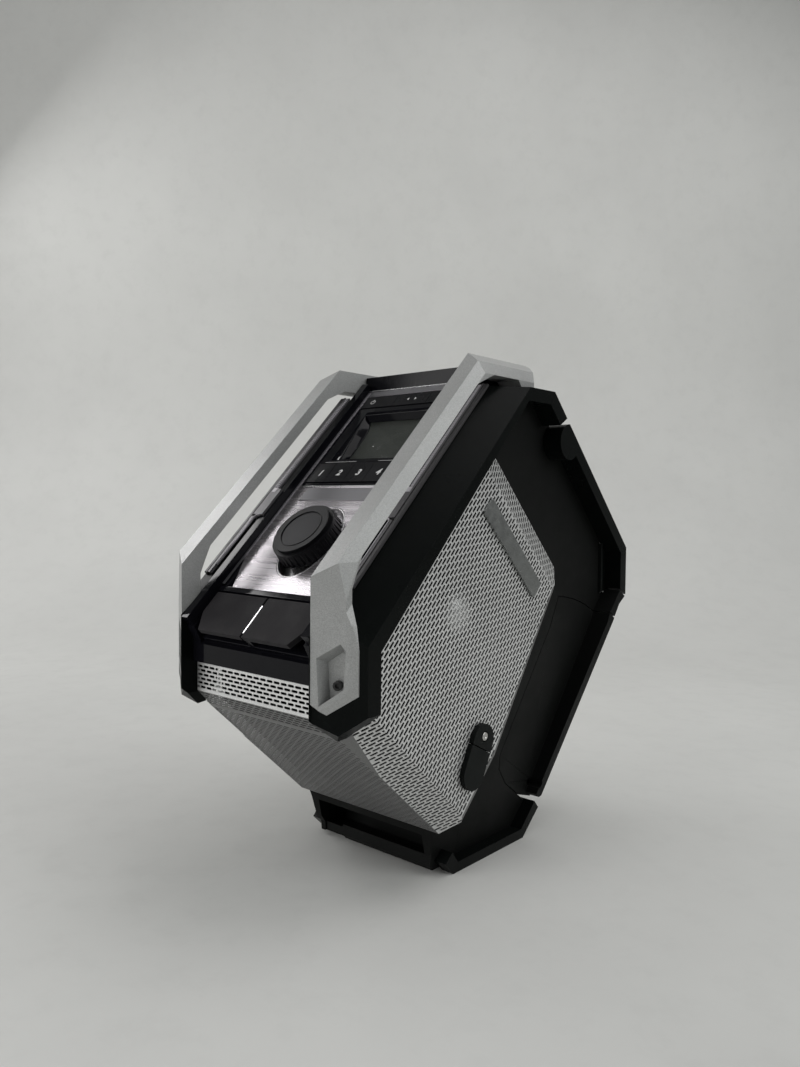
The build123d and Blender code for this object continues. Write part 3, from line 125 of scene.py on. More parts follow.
class RadioSizes(bpy.types.PropertyGroup):
    slot_length: length("Slot length", "Length of one slot in the grille sheet", 0.0048)
    slot_width: length("Slot width", "Width of one slot in the grille sheet", 0.00155)
    slot_pitch: length("Slot pitch", "Distance between slots along a row", 0.0055)
    row_pitch: length("Row pitch", "Distance between the rows of slots", 0.00235)
    sheet: length("Sheet", "Thickness of the grille sheet", 0.00035)
    edge: length("Moulded edge", "Radius of the moulded edges", 0.0009)
    bar_edge: length("Bar edge", "Radius of the roll bar edges", 0.0014)
    numeral: length("Numeral height", "Height of the numerals on the preset buttons", 0.0066)


class RadioColours(bpy.types.PropertyGroup):
    silver: paint("Silver paint", "Roll bars", (0.38, 0.386, 0.382))
    bumper: paint("Frame plastic", "Side frames, feet and handle", (0.0035, 0.0045, 0.0042))
    body: paint("Body plastic", "Shells, cover and base", (0.0035, 0.004, 0.0037))
    grille: paint("Grille paint", "Perforated sheet", (0.74, 0.745, 0.74))
    plate: paint("Console plate", "Brushed metal of the console", (0.70, 0.665, 0.70))
    dish: paint("Dish", "Satin metal of the finger dish", (0.55, 0.54, 0.555))
    trim: paint("Trim", "Grey strips under the roll bars", (0.11, 0.106, 0.113))
    rubber: paint("Rubber", "Port doors", (0.010, 0.009, 0.0105))
    knob: paint("Knob", "Tuning knob", (0.004, 0.004, 0.005))
    lcd: paint("Display", "Unlit display", (0.038, 0.042, 0.037))
    print_white: paint("Print", "Numerals and marks", (0.70, 0.70, 0.70))


class StudioSettings(bpy.types.PropertyGroup):
    camera_place: bpy.props.FloatVectorProperty(
        name="Camera place", description="Where the camera stands", default=(0.34898, -0.41154, 0.2157),
        size=3, subtype="TRANSLATION", unit="LENGTH")
    camera_turn: rotation("Camera turn", "Heading, anticlockwise from the front", 41.27)
    camera_dip: rotation("Camera dip", "Angle the camera looks down", 2.11)
    camera_roll: rotation("Camera roll", "Turn about the line of sight", -0.53)
    lens: bpy.props.FloatProperty(
        name="Lens", description="Focal length in millimetres", default=28.54, min=5.0)
    floor: paint("Floor", "Floor and backdrop", (0.66, 0.665, 0.645))
    key: strength("Overhead light", "Power of the overhead softbox", 8.0)
    side: strength("Side light", "Power of the softbox on the right", 6.0)
    left: strength("Left light", "Power of the softbox on the left, which the front one follows", 4.6)
    sky: strength("Room light", "Strength of the even light of the room", 0.2)


# ------------------------------------------------------------------ places
def on_slope(x, s, n):
    """A place on the console, in metres: s runs up the slope and n is square to it."""
    return Vector((x, (s - n) / ROOT2, (s + n) / ROOT2)) * MM


def slope_matrix(x, s, n):
    """Local x across the console, local y up the slope, local z square to it."""
    turn = Matrix(((1, 0, 0), (0, 1 / ROOT2, -1 / ROOT2), (0, 1 / ROOT2, 1 / ROOT2)))
    return Matrix.Translation(on_slope(x, s, n)) @ turn.to_4x4()


def box_corners(x0, x1, y0, y1):
    return [(x0, y0), (x1, y0), (x1, y1), (x0, y1)]


def middle_box(half, y0, y1):
    """Corners of a box that lies across the middle of the radio."""
    return box_corners(-half, half, y0, y1)


def side_box(side, near, far, y0, y1):
    """Corners of a box on one side of the radio, from its near to its far edge."""
    return box_corners(*sorted((side * near, side * far)), y0, y1)


def mirrored(corners, side):
    """Corners given for the right side, for either side and in the same turning sense."""
    return [(side * x, s) for x, s in (corners if side > 0 else reversed(corners))]


# ------------------------------------------------------------------ making pieces
def body_of_node(node):
    return NODES[node]["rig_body"]


def add_piece(name, mesh, finish, body="radio", smooth=True):
    """A new piece of the radio that moves with one body."""
    piece = bpy.data.objects.new(name, mesh)
    bpy.context.scene.collection.objects.link(piece)
    mesh.materials.append(finishes()[finish])
    if smooth:
        for polygon in mesh.polygons:
            polygon.use_smooth = True
    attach(piece, body)
    return piece


def mesh_from(name, build):
    """A mesh filled by build(bm)."""
    bm = bmesh.new()
    build(bm)
    bmesh.ops.remove_doubles(bm, verts=bm.verts, dist=1e-7)
    bmesh.ops.recalc_face_normals(bm, faces=bm.faces)
    mesh = bpy.data.meshes.new(name)
    bm.to_mesh(mesh)
    bm.free()
    return mesh


def add_block(bm, bottom, top):
    """A closed block between two loops of the same number of points."""
    low = [bm.verts.new(point) for point in bottom]
    high = [bm.verts.new(point) for point in top]
    count = len(low)
    bm.faces.new(list(reversed(low)))
    bm.faces.new(high)
    for index in range(count):
        follow = (index + 1) % count
        bm.faces.new((low[index], low[follow], high[follow], high[index]))


def upright_mesh(name, corners, bottom, height):
    """A mesh of one block that stands on (x, y) corners."""
    low = [Vector((x, y, bottom)) * MM for x, y in corners]
    high = [corner + Vector((0, 0, height * MM)) for corner in low]
    return mesh_from(name, partial(add_block, bottom=low, top=high))


def slope_slab(bm, corners, n_low, n_high, draft=0.0):
    """A slab on the console from (x, s) corners; draft draws its top in."""
    middle_x = sum(x for x, s in corners) / len(corners)
    middle_s = sum(s for x, s in corners) / len(corners)
    top = []
    for x, s in corners:
        away = Vector((x - middle_x, s - middle_s))
        away -= away.normalized() * draft
        top.append(on_slope(middle_x + away.x, middle_s + away.y, n_high))
    add_block(bm, [on_slope(x, s, n_low) for x, s in corners], top)


def slab_mesh(name, *slabs):
    """A mesh of slabs on the console; each has its corners, two levels and draft."""
    def build(bm):
        for slab in slabs:
            slope_slab(bm, *slab)

    return mesh_from(name, build)


def ring_slab(bm, x, s, n, outer, inner, height, gap=0.0, count=40):
    """A flat ring on the console, with an opening at its top where gap is given (radians)."""
    start = math.pi / 2 + gap / 2
    sweep = 2 * math.pi - gap
    profile = ((inner, n), (outer, n), (outer, n + height), (inner, n + height))
    loops = []
    for k in range(count + 1 if gap else count):
        angle = start + sweep * k / count
        loops.append([
            bm.verts.new(on_slope(x + reach * math.cos(angle), s + reach * math.sin(angle), level))
            for reach, level in profile])
    pairs = list(zip(loops, loops[1:])) + ([] if gap else [(loops[-1], loops[0])])
    for low, high in pairs:
        for k in range(4):
            follow = (k + 1) % 4
            bm.faces.new((low[k], low[follow], high[follow], high[k]))
    if gap:
        bm.faces.new(loops[0])
        bm.faces.new(list(reversed(loops[-1])))


def turned_mesh(name, y, z, rings, count):
    """A mesh turned about a line along x, from (radius, x) rings; the last one is a point."""
    def circle(bm, radius, x):
        angles = [2 * math.pi * k / count for k in range(count)]
        return [bm.verts.new((x, y + radius * math.cos(a), z + radius * math.sin(a))) for a in angles]

    def build(bm):
        loops = [circle(bm, radius, x) for radius, x in rings[:-1]]
        tip = bm.verts.new((rings[-1][1], y, z))
        for k in range(count):
            follow = (k + 1) % count
            for low, high in zip(loops, loops[1:]):
                bm.faces.new((low[k], low[follow], high[follow], high[k]))
            bm.faces.new((loops[-1][k], loops[-1][follow], tip))
        bm.faces.new(loops[0])

    return mesh_from(name, build)


def soften(piece, radius, segments=2, angle=30.0, weld=True):
    """Rounds the hard edges of a piece as a mould would."""
    if weld:
        join = piece.modifiers.new("join", "WELD")
        join.merge_threshold = 1e-5
    edge = piece.modifiers.new("edge", "BEVEL")
    edge.width = radius
    edge.segments = segments
    edge.limit_method = "ANGLE"
    edge.angle_limit = math.radians(angle)
    edge.harden_normals = True
    edge.use_clamp_overlap = True
    for polygon in piece.data.polygons:
        polygon.use_smooth = True
    even = piece.modifiers.new("even", "WEIGHTED_NORMAL")
    even.keep_sharp = True


def dress(finish, radius, *nodes, segments=2, angle=30.0):
    """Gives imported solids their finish, and softer edges where a radius is given."""
    for node in nodes:
        solid = NODES[node]
        solid.data.materials.clear()
        solid.data.materials.append(finishes()[finish])
        if radius:
            soften(solid, radius, segments, angle)


# ------------------------------------------------------------------ finishes
COLOUR_A, COLOUR_B, COLOUR_OUT = 6, 7, 2     # colour sockets of a mix node


class Finish:
    """Node builder for one material."""

    def __init__(self, name):
        self.material = bpy.data.materials.new(name)
        self.material.use_nodes = True
        self.tree = self.material.node_tree
        self.shader = self.tree.nodes["Principled BSDF"]
        self.place = self.tree.nodes.new("ShaderNodeTexCoord").outputs["Object"]

    def set(self, **values):
        for socket, value in values.items():
            self.shader.inputs[socket.replace("_", " ")].default_value = value
        return self

    def stretch(self, scale, turn=(0.0, 0.0, 0.0)):
        node = self.tree.nodes.new("ShaderNodeMapping")
        node.inputs["Scale"].default_value = scale
        node.inputs["Rotation"].default_value = turn
        self.tree.links.new(self.place, node.inputs["Vector"])
        return node.outputs["Vector"]

    def noise(self, scale, detail=3.0, roughness=0.55, vector=None):
        node = self.tree.nodes.new("ShaderNodeTexNoise")
        node.inputs["Scale"].default_value = scale
        node.inputs["Detail"].default_value = detail
        node.inputs["Roughness"].default_value = roughness
        self.tree.links.new(vector or self.place, node.inputs["Vector"])
        return node.outputs["Fac"]

    def flakes(self, scale):
        node = self.tree.nodes.new("ShaderNodeTexVoronoi")
        node.inputs["Scale"].default_value = scale
        self.tree.links.new(self.place, node.inputs["Vector"])
        return node.outputs["Color"]

    def fade(self, source, low, high, from_low=0.35, from_high=0.65):
        """Turns a pattern into a number between low and high."""
        node = self.tree.nodes.new("ShaderNodeMapRange")
        node.inputs["From Min"].default_value = from_low
        node.inputs["From Max"].default_value = from_high
        node.inputs["To Min"].default_value = low
        node.inputs["To Max"].default_value = high
        self.tree.links.new(source, node.inputs["Value"])
        return node.outputs["Result"]

    def between(self, factor, first, second):
        """A colour between two, led by a pattern."""
        node = self.tree.nodes.new("ShaderNodeMix")
        node.data_type = "RGBA"
        self.tree.links.new(factor, node.inputs["Factor"])
        for socket, value in ((COLOUR_A, first), (COLOUR_B, second)):
            if isinstance(value, bpy.types.NodeSocket):
                self.tree.links.new(value, node.inputs[socket])
            else:
                node.inputs[socket].default_value = (*value, 1.0)
        return node.outputs[COLOUR_OUT]

    def link(self, socket, source):
        self.tree.links.new(source, self.shader.inputs[socket])
        return self

    def relief(self, height, strength, distance):
        node = self.tree.nodes.new("ShaderNodeBump")
        node.inputs["Strength"].default_value = strength
        node.inputs["Distance"].default_value = distance
        self.tree.links.new(height, node.inputs["Height"])
        previous = self.shader.inputs["Normal"].links
        if previous:
            self.tree.links.new(previous[0].from_socket, node.inputs["Normal"])
        self.tree.links.new(node.outputs["Normal"], self.shader.inputs["Normal"])
        return self


def shade(colour, factor):
    return tuple(min(1.0, channel * factor) for channel in colour)


def moulded(name, colour, rough, grain=2600.0, depth=0.25, wear=1.7, shine=0.13):
    """Moulded plastic: fine spark-eroded grain, slow changes of gloss and a little dust."""
    finish = Finish(name)
    slow = finish.noise(22.0, 4.0)
    dust = finish.noise(160.0, 6.0, 0.7)
    tone = finish.between(finish.fade(dust, 0.0, 1.0, 0.5, 0.78), colour, shade(colour, wear))
    finish.link("Base Color", finish.between(finish.fade(slow, 0.0, 0.6), tone, shade(colour, 0.8)))
    finish.link("Roughness", finish.fade(slow, *rough))
    finish.relief(finish.noise(grain, 2.0, 0.6), depth, 0.00006)
    finish.relief(finish.noise(55.0, 2.0), 0.05, 0.0005)
    return finish.set(Specular_IOR_Level=shine).material


def glossy(name, colour):
    """Polished plastic with fine handling marks."""
    finish = Finish(name)
    marks = finish.noise(900.0, 5.0, 0.7, finish.stretch((1.0, 0.12, 0.12)))
    finish.link("Base Color", finish.between(finish.noise(35.0), colour, shade(colour, 1.5)))
    finish.link("Roughness", finish.fade(marks, 0.06, 0.16))
    finish.relief(finish.noise(1800.0, 2.0), 0.02, 0.00003)
    return finish.set(Specular_IOR_Level=0.12).material


def flake_paint(name, colour):
    """Silver paint with fine metal flakes over a slightly wavy surface."""
    finish = Finish(name)
    flake = finish.flakes(3400.0)
    sparkle = finish.fade(flake, 0.0, 1.0, 0.1, 0.9)
    tone = finish.between(sparkle, shade(colour, 0.8), shade(colour, 1.28))
    cloudy = finish.between(finish.fade(finish.noise(30.0), 0.0, 0.35), tone, shade(colour, 0.85))
    finish.link("Base Color", cloudy)
    finish.link("Roughness", finish.fade(sparkle, 0.34, 0.5, 0.0, 1.0))
    finish.relief(flake, 0.22, 0.00008)
    finish.relief(finish.noise(420.0, 2.0), 0.05, 0.0002)
    return finish.set(Metallic=0.3, Coat_Weight=0.08, Coat_Roughness=0.3).material


def brushed(name, colour, rough):
    """Metal brushed across the console."""
    finish = Finish(name)
    lines = finish.noise(1.0, 6.0, 0.75, finish.stretch((14.0, 2400.0, 2400.0)))
    broad = finish.noise(1.0, 3.0, 0.6, finish.stretch((5.0, 260.0, 260.0)))
    tone = finish.between(finish.fade(lines, 0.0, 1.0, 0.3, 0.7), shade(colour, 0.8), colour)
    finish.link("Base Color", tone)
    finish.link("Roughness", finish.fade(broad, *rough))
    finish.relief(lines, 0.16, 0.00005)
    finish.relief(broad, 0.02, 0.0001)
    return finish.set(Metallic=0.9, Anisotropic=0.5).material


def satin_metal(name, colour, rough, metallic=0.9, grain=0.1):
    """Plain metal with slow changes of gloss and light handling wear."""
    finish = Finish(name)
    slow = finish.noise(60.0, 4.0, 0.65)
    finish.link("Base Color", finish.between(slow, shade(colour, 0.82), shade(colour, 1.12)))
    finish.link("Roughness", finish.fade(slow, *rough))
    finish.relief(finish.noise(1500.0, 2.0), grain, 0.00004)
    return finish.set(Metallic=metallic).material


def sheet_paint(name, colour):
    """Painted sheet metal of the grilles, duller and rougher in its fine grain."""
    finish = Finish(name)
    grain = finish.noise(2200.0, 3.0, 0.7)
    slow = finish.noise(26.0, 3.0)
    tone = finish.between(finish.fade(grain, 0.0, 1.0), shade(colour, 0.72), shade(colour, 1.2))
    finish.link("Base Color", finish.between(finish.fade(slow, 0.0, 0.5), tone, shade(colour, 0.8)))
    finish.link("Roughness", finish.fade(grain, 0.36, 0.55))
    finish.relief(grain, 0.2, 0.00005)
    return finish.set(Metallic=0.6).material


def soft_rubber(name, colour):
    """Matt rubber with a fine grain and a faint bloom."""
    finish = Finish(name)
    bloom = finish.noise(75.0, 5.0, 0.7)
    tone = finish.between(finish.fade(bloom, 0.0, 0.7, 0.4, 0.7), colour, shade(colour, 1.5))
    finish.link("Base Color", tone)
    finish.link("Roughness", finish.fade(bloom, 0.64, 0.8))
    finish.relief(finish.noise(2400.0, 2.0), 0.25, 0.00006)
    return finish.set(Specular_IOR_Level=0.22, Sheen_Weight=0.04).material


def display_glass(name):
    """Clear lens with faint smears in its gloss."""
    finish = Finish(name)
    finish.link("Roughness", finish.fade(finish.noise(120.0, 4.0), 0.08, 0.14))
    finish.relief(finish.noise(1800.0), 0.01, 0.00002)
    return finish.set(Base_Color=(0.03, 0.035, 0.032, 1.0), Alpha=0.12, IOR=1.3).material


def display_cells(name, colour):
    """Unlit display: a fine grid of cells over a grey-green ground."""
    finish = Finish(name)
    cells = finish.tree.nodes.new("ShaderNodeTexBrick")
    cells.offset = 0.0
    cells.inputs["Scale"].default_value = 1.0
    cells.inputs["Brick Width"].default_value = 0.0007
    cells.inputs["Row Height"].default_value = 0.0007
    cells.inputs["Mortar Size"].default_value = 0.00006
    cells.inputs["Color1"].default_value = (*colour, 1.0)
    cells.inputs["Color2"].default_value = (*shade(colour, 0.94), 1.0)
    cells.inputs["Mortar"].default_value = (*shade(colour, 1.15), 1.0)
    level = finish.stretch((1.0, 1.0, 1.0), (-math.pi / 4, 0.0, 0.0))
    finish.tree.links.new(level, cells.inputs["Vector"])
    cloud = finish.fade(finish.noise(18.0), 0.0, 0.6)
    finish.link("Base Color", finish.between(cloud, cells.outputs["Color"], shade(colour, 1.25)))
    finish.link("Roughness", finish.fade(finish.noise(300.0), 0.3, 0.42))
    return finish.material


def circuit(name):
    """Green board with copper tracks under its lacquer."""
    finish = Finish(name)
    tracks = finish.tree.nodes.new("ShaderNodeTexBrick")
    tracks.inputs["Scale"].default_value = 1.0
    tracks.inputs["Brick Width"].default_value = 0.012
    tracks.inputs["Row Height"].default_value = 0.0025
    tracks.inputs["Mortar Size"].default_value = 0.0003
    tracks.inputs["Color1"].default_value = (0.01, 0.09, 0.035, 1.0)
    tracks.inputs["Color2"].default_value = (0.012, 0.11, 0.04, 1.0)
    tracks.inputs["Mortar"].default_value = (0.05, 0.2, 0.07, 1.0)
    finish.tree.links.new(finish.place, tracks.inputs["Vector"])
    finish.link("Base Color", tracks.outputs["Color"])
    finish.link("Roughness", finish.fade(finish.noise(400.0), 0.3, 0.45))
    finish.relief(tracks.outputs["Fac"], 0.3, 0.0001)
    return finish.material


def paper_cone(name):
    """Pressed paper cone with a fine fibre grain."""
    finish = Finish(name)
    fibre = finish.noise(1100.0, 6.0, 0.75)
    # Near black: partly the paper's own colour, partly painted shade inside the radio behind the grilles
    finish.link("Base Color", finish.between(fibre, (0.008, 0.008, 0.009), (0.02, 0.02, 0.021)))
    finish.link("Roughness", finish.fade(fibre, 0.6, 0.8))
    finish.relief(fibre, 0.3, 0.0001)
    return finish.material


def printed(name, colour):
    """Pad-printed ink, thin and slightly uneven."""
    finish = Finish(name)
    uneven = finish.noise(900.0, 4.0, 0.7)
    finish.link("Base Color", finish.between(finish.fade(uneven, 0.0, 0.6), colour, shade(colour, 0.82)))
    finish.link("Roughness", finish.fade(uneven, 0.4, 0.55))
    finish.relief(uneven, 0.08, 0.00003)
    return finish.material


def studio_ground(name, colour):
    """Pale floor and backdrop with a faint cloudiness."""
    finish = Finish(name)
    cloud = finish.noise(3.2, 6.0, 0.6)
    fine = finish.noise(38.0, 5.0, 0.65)
    tone = finish.between(finish.fade(cloud, 0.0, 1.0, 0.3, 0.7), shade(colour, 0.95), shade(colour, 1.04))
    speckled = finish.between(finish.fade(fine, 0.0, 0.35, 0.5, 0.75), tone, shade(colour, 0.9))
    finish.link("Base Color", speckled)
    finish.link("Roughness", finish.fade(fine, 0.6, 0.8))
    finish.relief(fine, 0.06, 0.001)
    return finish.material


FINISHES = {}


def finishes():
    """Every finish of the radio, made once."""
    if FINISHES:
        return FINISHES
    colours = bpy.context.scene.radio_colours
    FINISHES.update(
        body=moulded("body plastic", colours.body, rough=(0.5, 0.66), grain=2200.0, depth=0.35),
        bumper=moulded(
            "frame plastic", colours.bumper,
            rough=(0.24, 0.34), grain=3000.0, depth=0.12, wear=1.6, shine=0.07),
        matt=moulded(
            "textured plastic", shade(colours.bumper, 1.5), rough=(0.5, 0.62), grain=1500.0, depth=0.5),
        gloss=glossy("polished black", (0.004, 0.004, 0.0055)),
        button=moulded("button plastic", (0.005, 0.005, 0.0065), rough=(0.24, 0.34), depth=0.1),
        silver=flake_paint("silver flake paint", colours.silver),
        steel=satin_metal("steel", (0.55, 0.54, 0.52), rough=(0.22, 0.36)),
        dark_steel=satin_metal("blackened steel", (0.05, 0.05, 0.05), rough=(0.3, 0.45)),
        chrome=satin_metal("bright edge", (0.66, 0.66, 0.67), rough=(0.22, 0.32), metallic=1.0, grain=0.02),
        trim=satin_metal("satin trim", colours.trim, rough=(0.34, 0.46), metallic=0.35),
        strip=satin_metal("grey strip", (0.22, 0.218, 0.23), rough=(0.34, 0.46), metallic=0.6),
        grille=sheet_paint("grille sheet", colours.grille),
        # Grille paint at three tenths: painted shade for the front grille's under face and the plain folded
        # borders
        fold=sheet_paint("grille fold painted shade", shade(colours.grille, 0.3)),
        plate=brushed("brushed console metal", colours.plate, rough=(0.2, 0.32)),
        dish=satin_metal("satin dish metal", colours.dish, rough=(0.22, 0.34), metallic=0.95),
        badge=brushed("bare badge metal", (0.3, 0.31, 0.305), rough=(0.3, 0.45)),
        rubber=soft_rubber("port rubber", colours.rubber),
        # Trim colour brightened four and a half times: painted highlight on the ribs and the slot bead
        rib=satin_metal("ribs painted highlight", shade(colours.trim, 4.5), rough=(0.36, 0.48), metallic=0.3),
        # Trim colour at four tenths: painted shadow in the gap between the trim strip and the roll bar
        band=satin_metal("dark band painted shadow", shade(colours.trim, 0.4), rough=(0.36, 0.48), metallic=0.2),
        knob=moulded("knob plastic", colours.knob, rough=(0.34, 0.46), depth=0.2, wear=1.5),
        cap=moulded(
            "knob cap", shade(colours.knob, 2.2),
            rough=(0.34, 0.42), grain=3200.0, depth=0.08, wear=1.2, shine=0.1),
        lens=display_glass("display lens"),
        lcd=display_cells("display cells", colours.lcd),
        board=circuit("circuit board"),
        cone=paper_cone("speaker cone"),
        # Near white and only partly metallic: partly the cap's silver, partly a painted highlight of its
        # glint
        dust=satin_metal("dust cap", (0.9, 0.92, 0.91), rough=(0.25, 0.35), metallic=0.4),
        # Nearly black steel: the frames are darkened as painted shade inside the radio, seen through the
        # grilles
        speaker=satin_metal("speaker steel painted shade", (0.03, 0.03, 0.032), rough=(0.45, 0.6), metallic=0.3),
        battery=moulded("battery plastic", (0.02, 0.02, 0.021), rough=(0.42, 0.56)),
        ink=printed("white print", colours.print_white),
    )
    return FINISHES


# ------------------------------------------------------------------ grilles
PLANES_PER_METRE = 4000      # faces within a quarter of a millimetre lie in one plane
SLOT_WALL = 0.87             # share of a slot's half width where its straight sides stand
SLOT_CHECKS = (-1.0, -0.5, 0.0, 0.5, 1.0)     # spots along a slot that have to clear a border
SLOT_OFFSET = 0.5            # share of the pitch that every other row is set off by
FRONT_BORDER = 0.12          # plain edge of the front grille
LEAST_FLAT = 2e-4            # square metres; smaller flats of the front grille stay plain

# Directions: parts of a face's normal that tell its side, and the way the slots run
ACROSS = 0.3                 # a face of the front grille looks less than this to either side
DOWNWARD = -0.5              # its under face looks lower than this
SIDEWAYS = 0.5               # a face of a side grille looks more than this to its side
FLAT_ON = 0.985              # its main face looks more than this to its side
MAIN_SLOTS = (0, 0.978, 1.022)
UPPER_SLOTS = (0, 1, 1)
LOWER_EDGE = (0, 0.727, -0.687)      # edge of the lower facet, which its slots cross

# Points that lie behind each sheet, in metres
SIDE_BEHIND = (0.04, -0.02, 0.11)
FRONT_BEHIND = (0, 0.0, 0.14)

# Patch of sheet between the front grille and the right side grille's lower facet
CORNER_SEAM = ((59.5, -116.9, 102.0), (54.2, -79.3, 62.2), (53.3, -118.2, 97.7), (53.4, -120.4, 100.0))


def outer_faces(node, centre):
    """Outer faces of a folded sheet: a mesh without its inner skin and cut edges."""
    bm = bmesh.new()
    bm.from_mesh(NODES[node].data)
    bmesh.ops.remove_doubles(bm, verts=bm.verts, dist=1e-6)
    bmesh.ops.recalc_face_normals(bm, faces=bm.faces)
    inner = [face for face in bm.faces if face.normal.dot(face.calc_center_median() - centre) <= 0]
    bmesh.ops.delete(bm, geom=inner, context="FACES")
    return bm


def flat_groups(bm):
    """Faces in groups that lie in one plane."""
    groups = {}
    for face in bm.faces:
        normal = face.normal
        level = round(normal.dot(face.verts[0].co) * PLANES_PER_METRE)
        key = tuple(round(value, 2) for value in normal) + (level,)
        groups.setdefault(key, []).append(face)
    return list(groups.values())


def rim_edges(faces):
    """Edges that only one face of the group uses."""
    used = {}
    for face in faces:
        for edge in face.edges:
            used[edge] = used.get(edge, 0) + 1
    return [edge for edge, count in used.items() if count == 1]


def inside(point, edges):
    """Whether a flat point lies within the closed edges round it."""
    crossings = 0
    for a, b in edges:
        if (a.y > point.y) != (b.y > point.y):
            at = a.x + (point.y - a.y) / (b.y - a.y) * (b.x - a.x)
            crossings += at > point.x
    return crossings % 2 == 1


def distance_to(point, a, b):
    """Distance of a flat point from the edge between a and b."""
    along = b - a
    share = max(0.0, min(1.0, (point - a).dot(along) / max(along.length_squared, 1e-12)))
    return (point - a - along * share).length


class FlatSheet:
    """One plane of a folded sheet: its slots, edges and plain borders in flat coordinates.

    along is the slots' direction, slot their length and width, and pitch the distances along and
    across.  margins(edge direction) gives the plain border at an edge, or None where the edge
    cuts through the slots.
    """

    def __init__(self, faces, along, slot, pitch, margins):
        normal = faces[0].normal.copy()
        self.along = (along - normal * along.dot(normal)).normalized()
        self.across = normal.cross(self.along)
        self.origin = normal * faces[0].verts[0].co.dot(normal)
        self.slot_length, self.slot_width = slot
        self.pitch = pitch
        self.points, self.edges = [], []
        rims = rim_edges(faces)
        self.add_rims(rims)
        self.sides = [(self.points[a], self.points[b]) for a, b in self.edges]
        self.borders = self.plain_borders(rims, faces, margins)
        self.slots = set()
        for cell in self.cells():
            if self.slot_fits(self.centre(cell)):
                self.slots.add(cell)
                self.add_slot(self.centre(cell))

    def flat(self, point):
        away = point - self.origin
        return Vector((away.dot(self.along), away.dot(self.across))) * PER_METRE

    def solid(self, spot):
        return self.origin + self.along * (spot.x / PER_METRE) + self.across * (spot.y / PER_METRE)

    def add_rims(self, rims):
        index_of = {}
        for edge in rims:
            for vert in edge.verts:
                if vert not in index_of:
                    index_of[vert] = len(self.points)
                    self.points.append(self.flat(vert.co))
            self.edges.append(tuple(index_of[vert] for vert in edge.verts))

    def plain_borders(self, rims, faces, margins):
        """Edges that have a plain border, each with its ends and the border's width."""
        borders = []
        for edge, (a, b) in zip(rims, self.sides):
            face = next(face for face in edge.link_faces if face in faces)
            start, end = (vert.co for vert in edge.verts)
            outward = (start + end) / 2 - face.calc_center_median()
            line = (end - start).normalized()
            border = margins((outward - line * outward.dot(line)).normalized())
            if border is not None:
                borders.append((a, b, border))
        return borders

    def cells(self):
        """Rows and columns of the slots that could lie on this plane."""
        ends = [(min(values), max(values)) for values in zip(*self.points)]
        (low_u, high_u), (low_v, high_v) = ends
        rows = range(math.floor(low_v / self.pitch[1]), math.ceil(high_v / self.pitch[1]) + 1)
        columns = range(math.floor(low_u / self.pitch[0]) - 1, math.ceil(high_u / self.pitch[0]) + 1)
        return [(row, column) for row in rows for column in columns]

    def centre(self, cell):
        """Middle of a slot; every other row is set off along the slots."""
        row, column = cell
        return Vector(((column + SLOT_OFFSET * (row % 2)) * self.pitch[0], row * self.pitch[1]))

    def slot_fits(self, centre):
        reach = (self.slot_length - self.slot_width) / 2
        spots = [centre + Vector((share * reach, 0)) for share in SLOT_CHECKS]
        if not inside(spots[1], self.sides) and not inside(spots[3], self.sides):
            return False
        room = [distance_to(spot, a, b) - border for a, b, border in self.borders for spot in spots]
        return all(gap >= self.slot_width / 2 for gap in room)

    def add_slot(self, centre):
        """A slot with round ends, each of three points."""
        radius = self.slot_width / 2
        reach = self.slot_length / 2 - radius
        first = len(self.points)
        for end, turns in ((reach, (-60, 0, 60)), (-reach, (120, 180, 240))):
            for turn in turns:
                angle = math.radians(turn)
                away = Vector((end + radius * math.cos(angle), radius * math.sin(angle)))
                self.points.append(centre + away)
        count = len(self.points) - first
        self.edges.extend((first + k, first + (k + 1) % count) for k in range(count))

    def in_slot(self, point):
        row = round(point.y / self.pitch[1])
        column = round(point.x / self.pitch[0] - SLOT_OFFSET * (row % 2))
        if (row, column) not in self.slots:
            return False
        away = point - self.centre((row, column))
        radius = self.slot_width / 2
        past = max(0.0, abs(away.x) - (self.slot_length / 2 - radius))
        return abs(away.y) < radius * SLOT_WALL and math.hypot(past, away.y) < radius

    def faces(self):
        """Corners of the triangles that are left between the slots."""
        spots, _, triangles, *_ = geometry.delaunay_2d_cdt(self.points, self.edges, [], 0, 1e-5)
        kept = []
        for triangle in triangles:
            corners = [spots[k] for k in triangle]
            middle = sum(corners, Vector((0.0, 0.0))) / len(corners)
            if inside(middle, self.sides) and not self.in_slot(middle):
                kept.append([self.solid(corner) for corner in corners])
        return kept


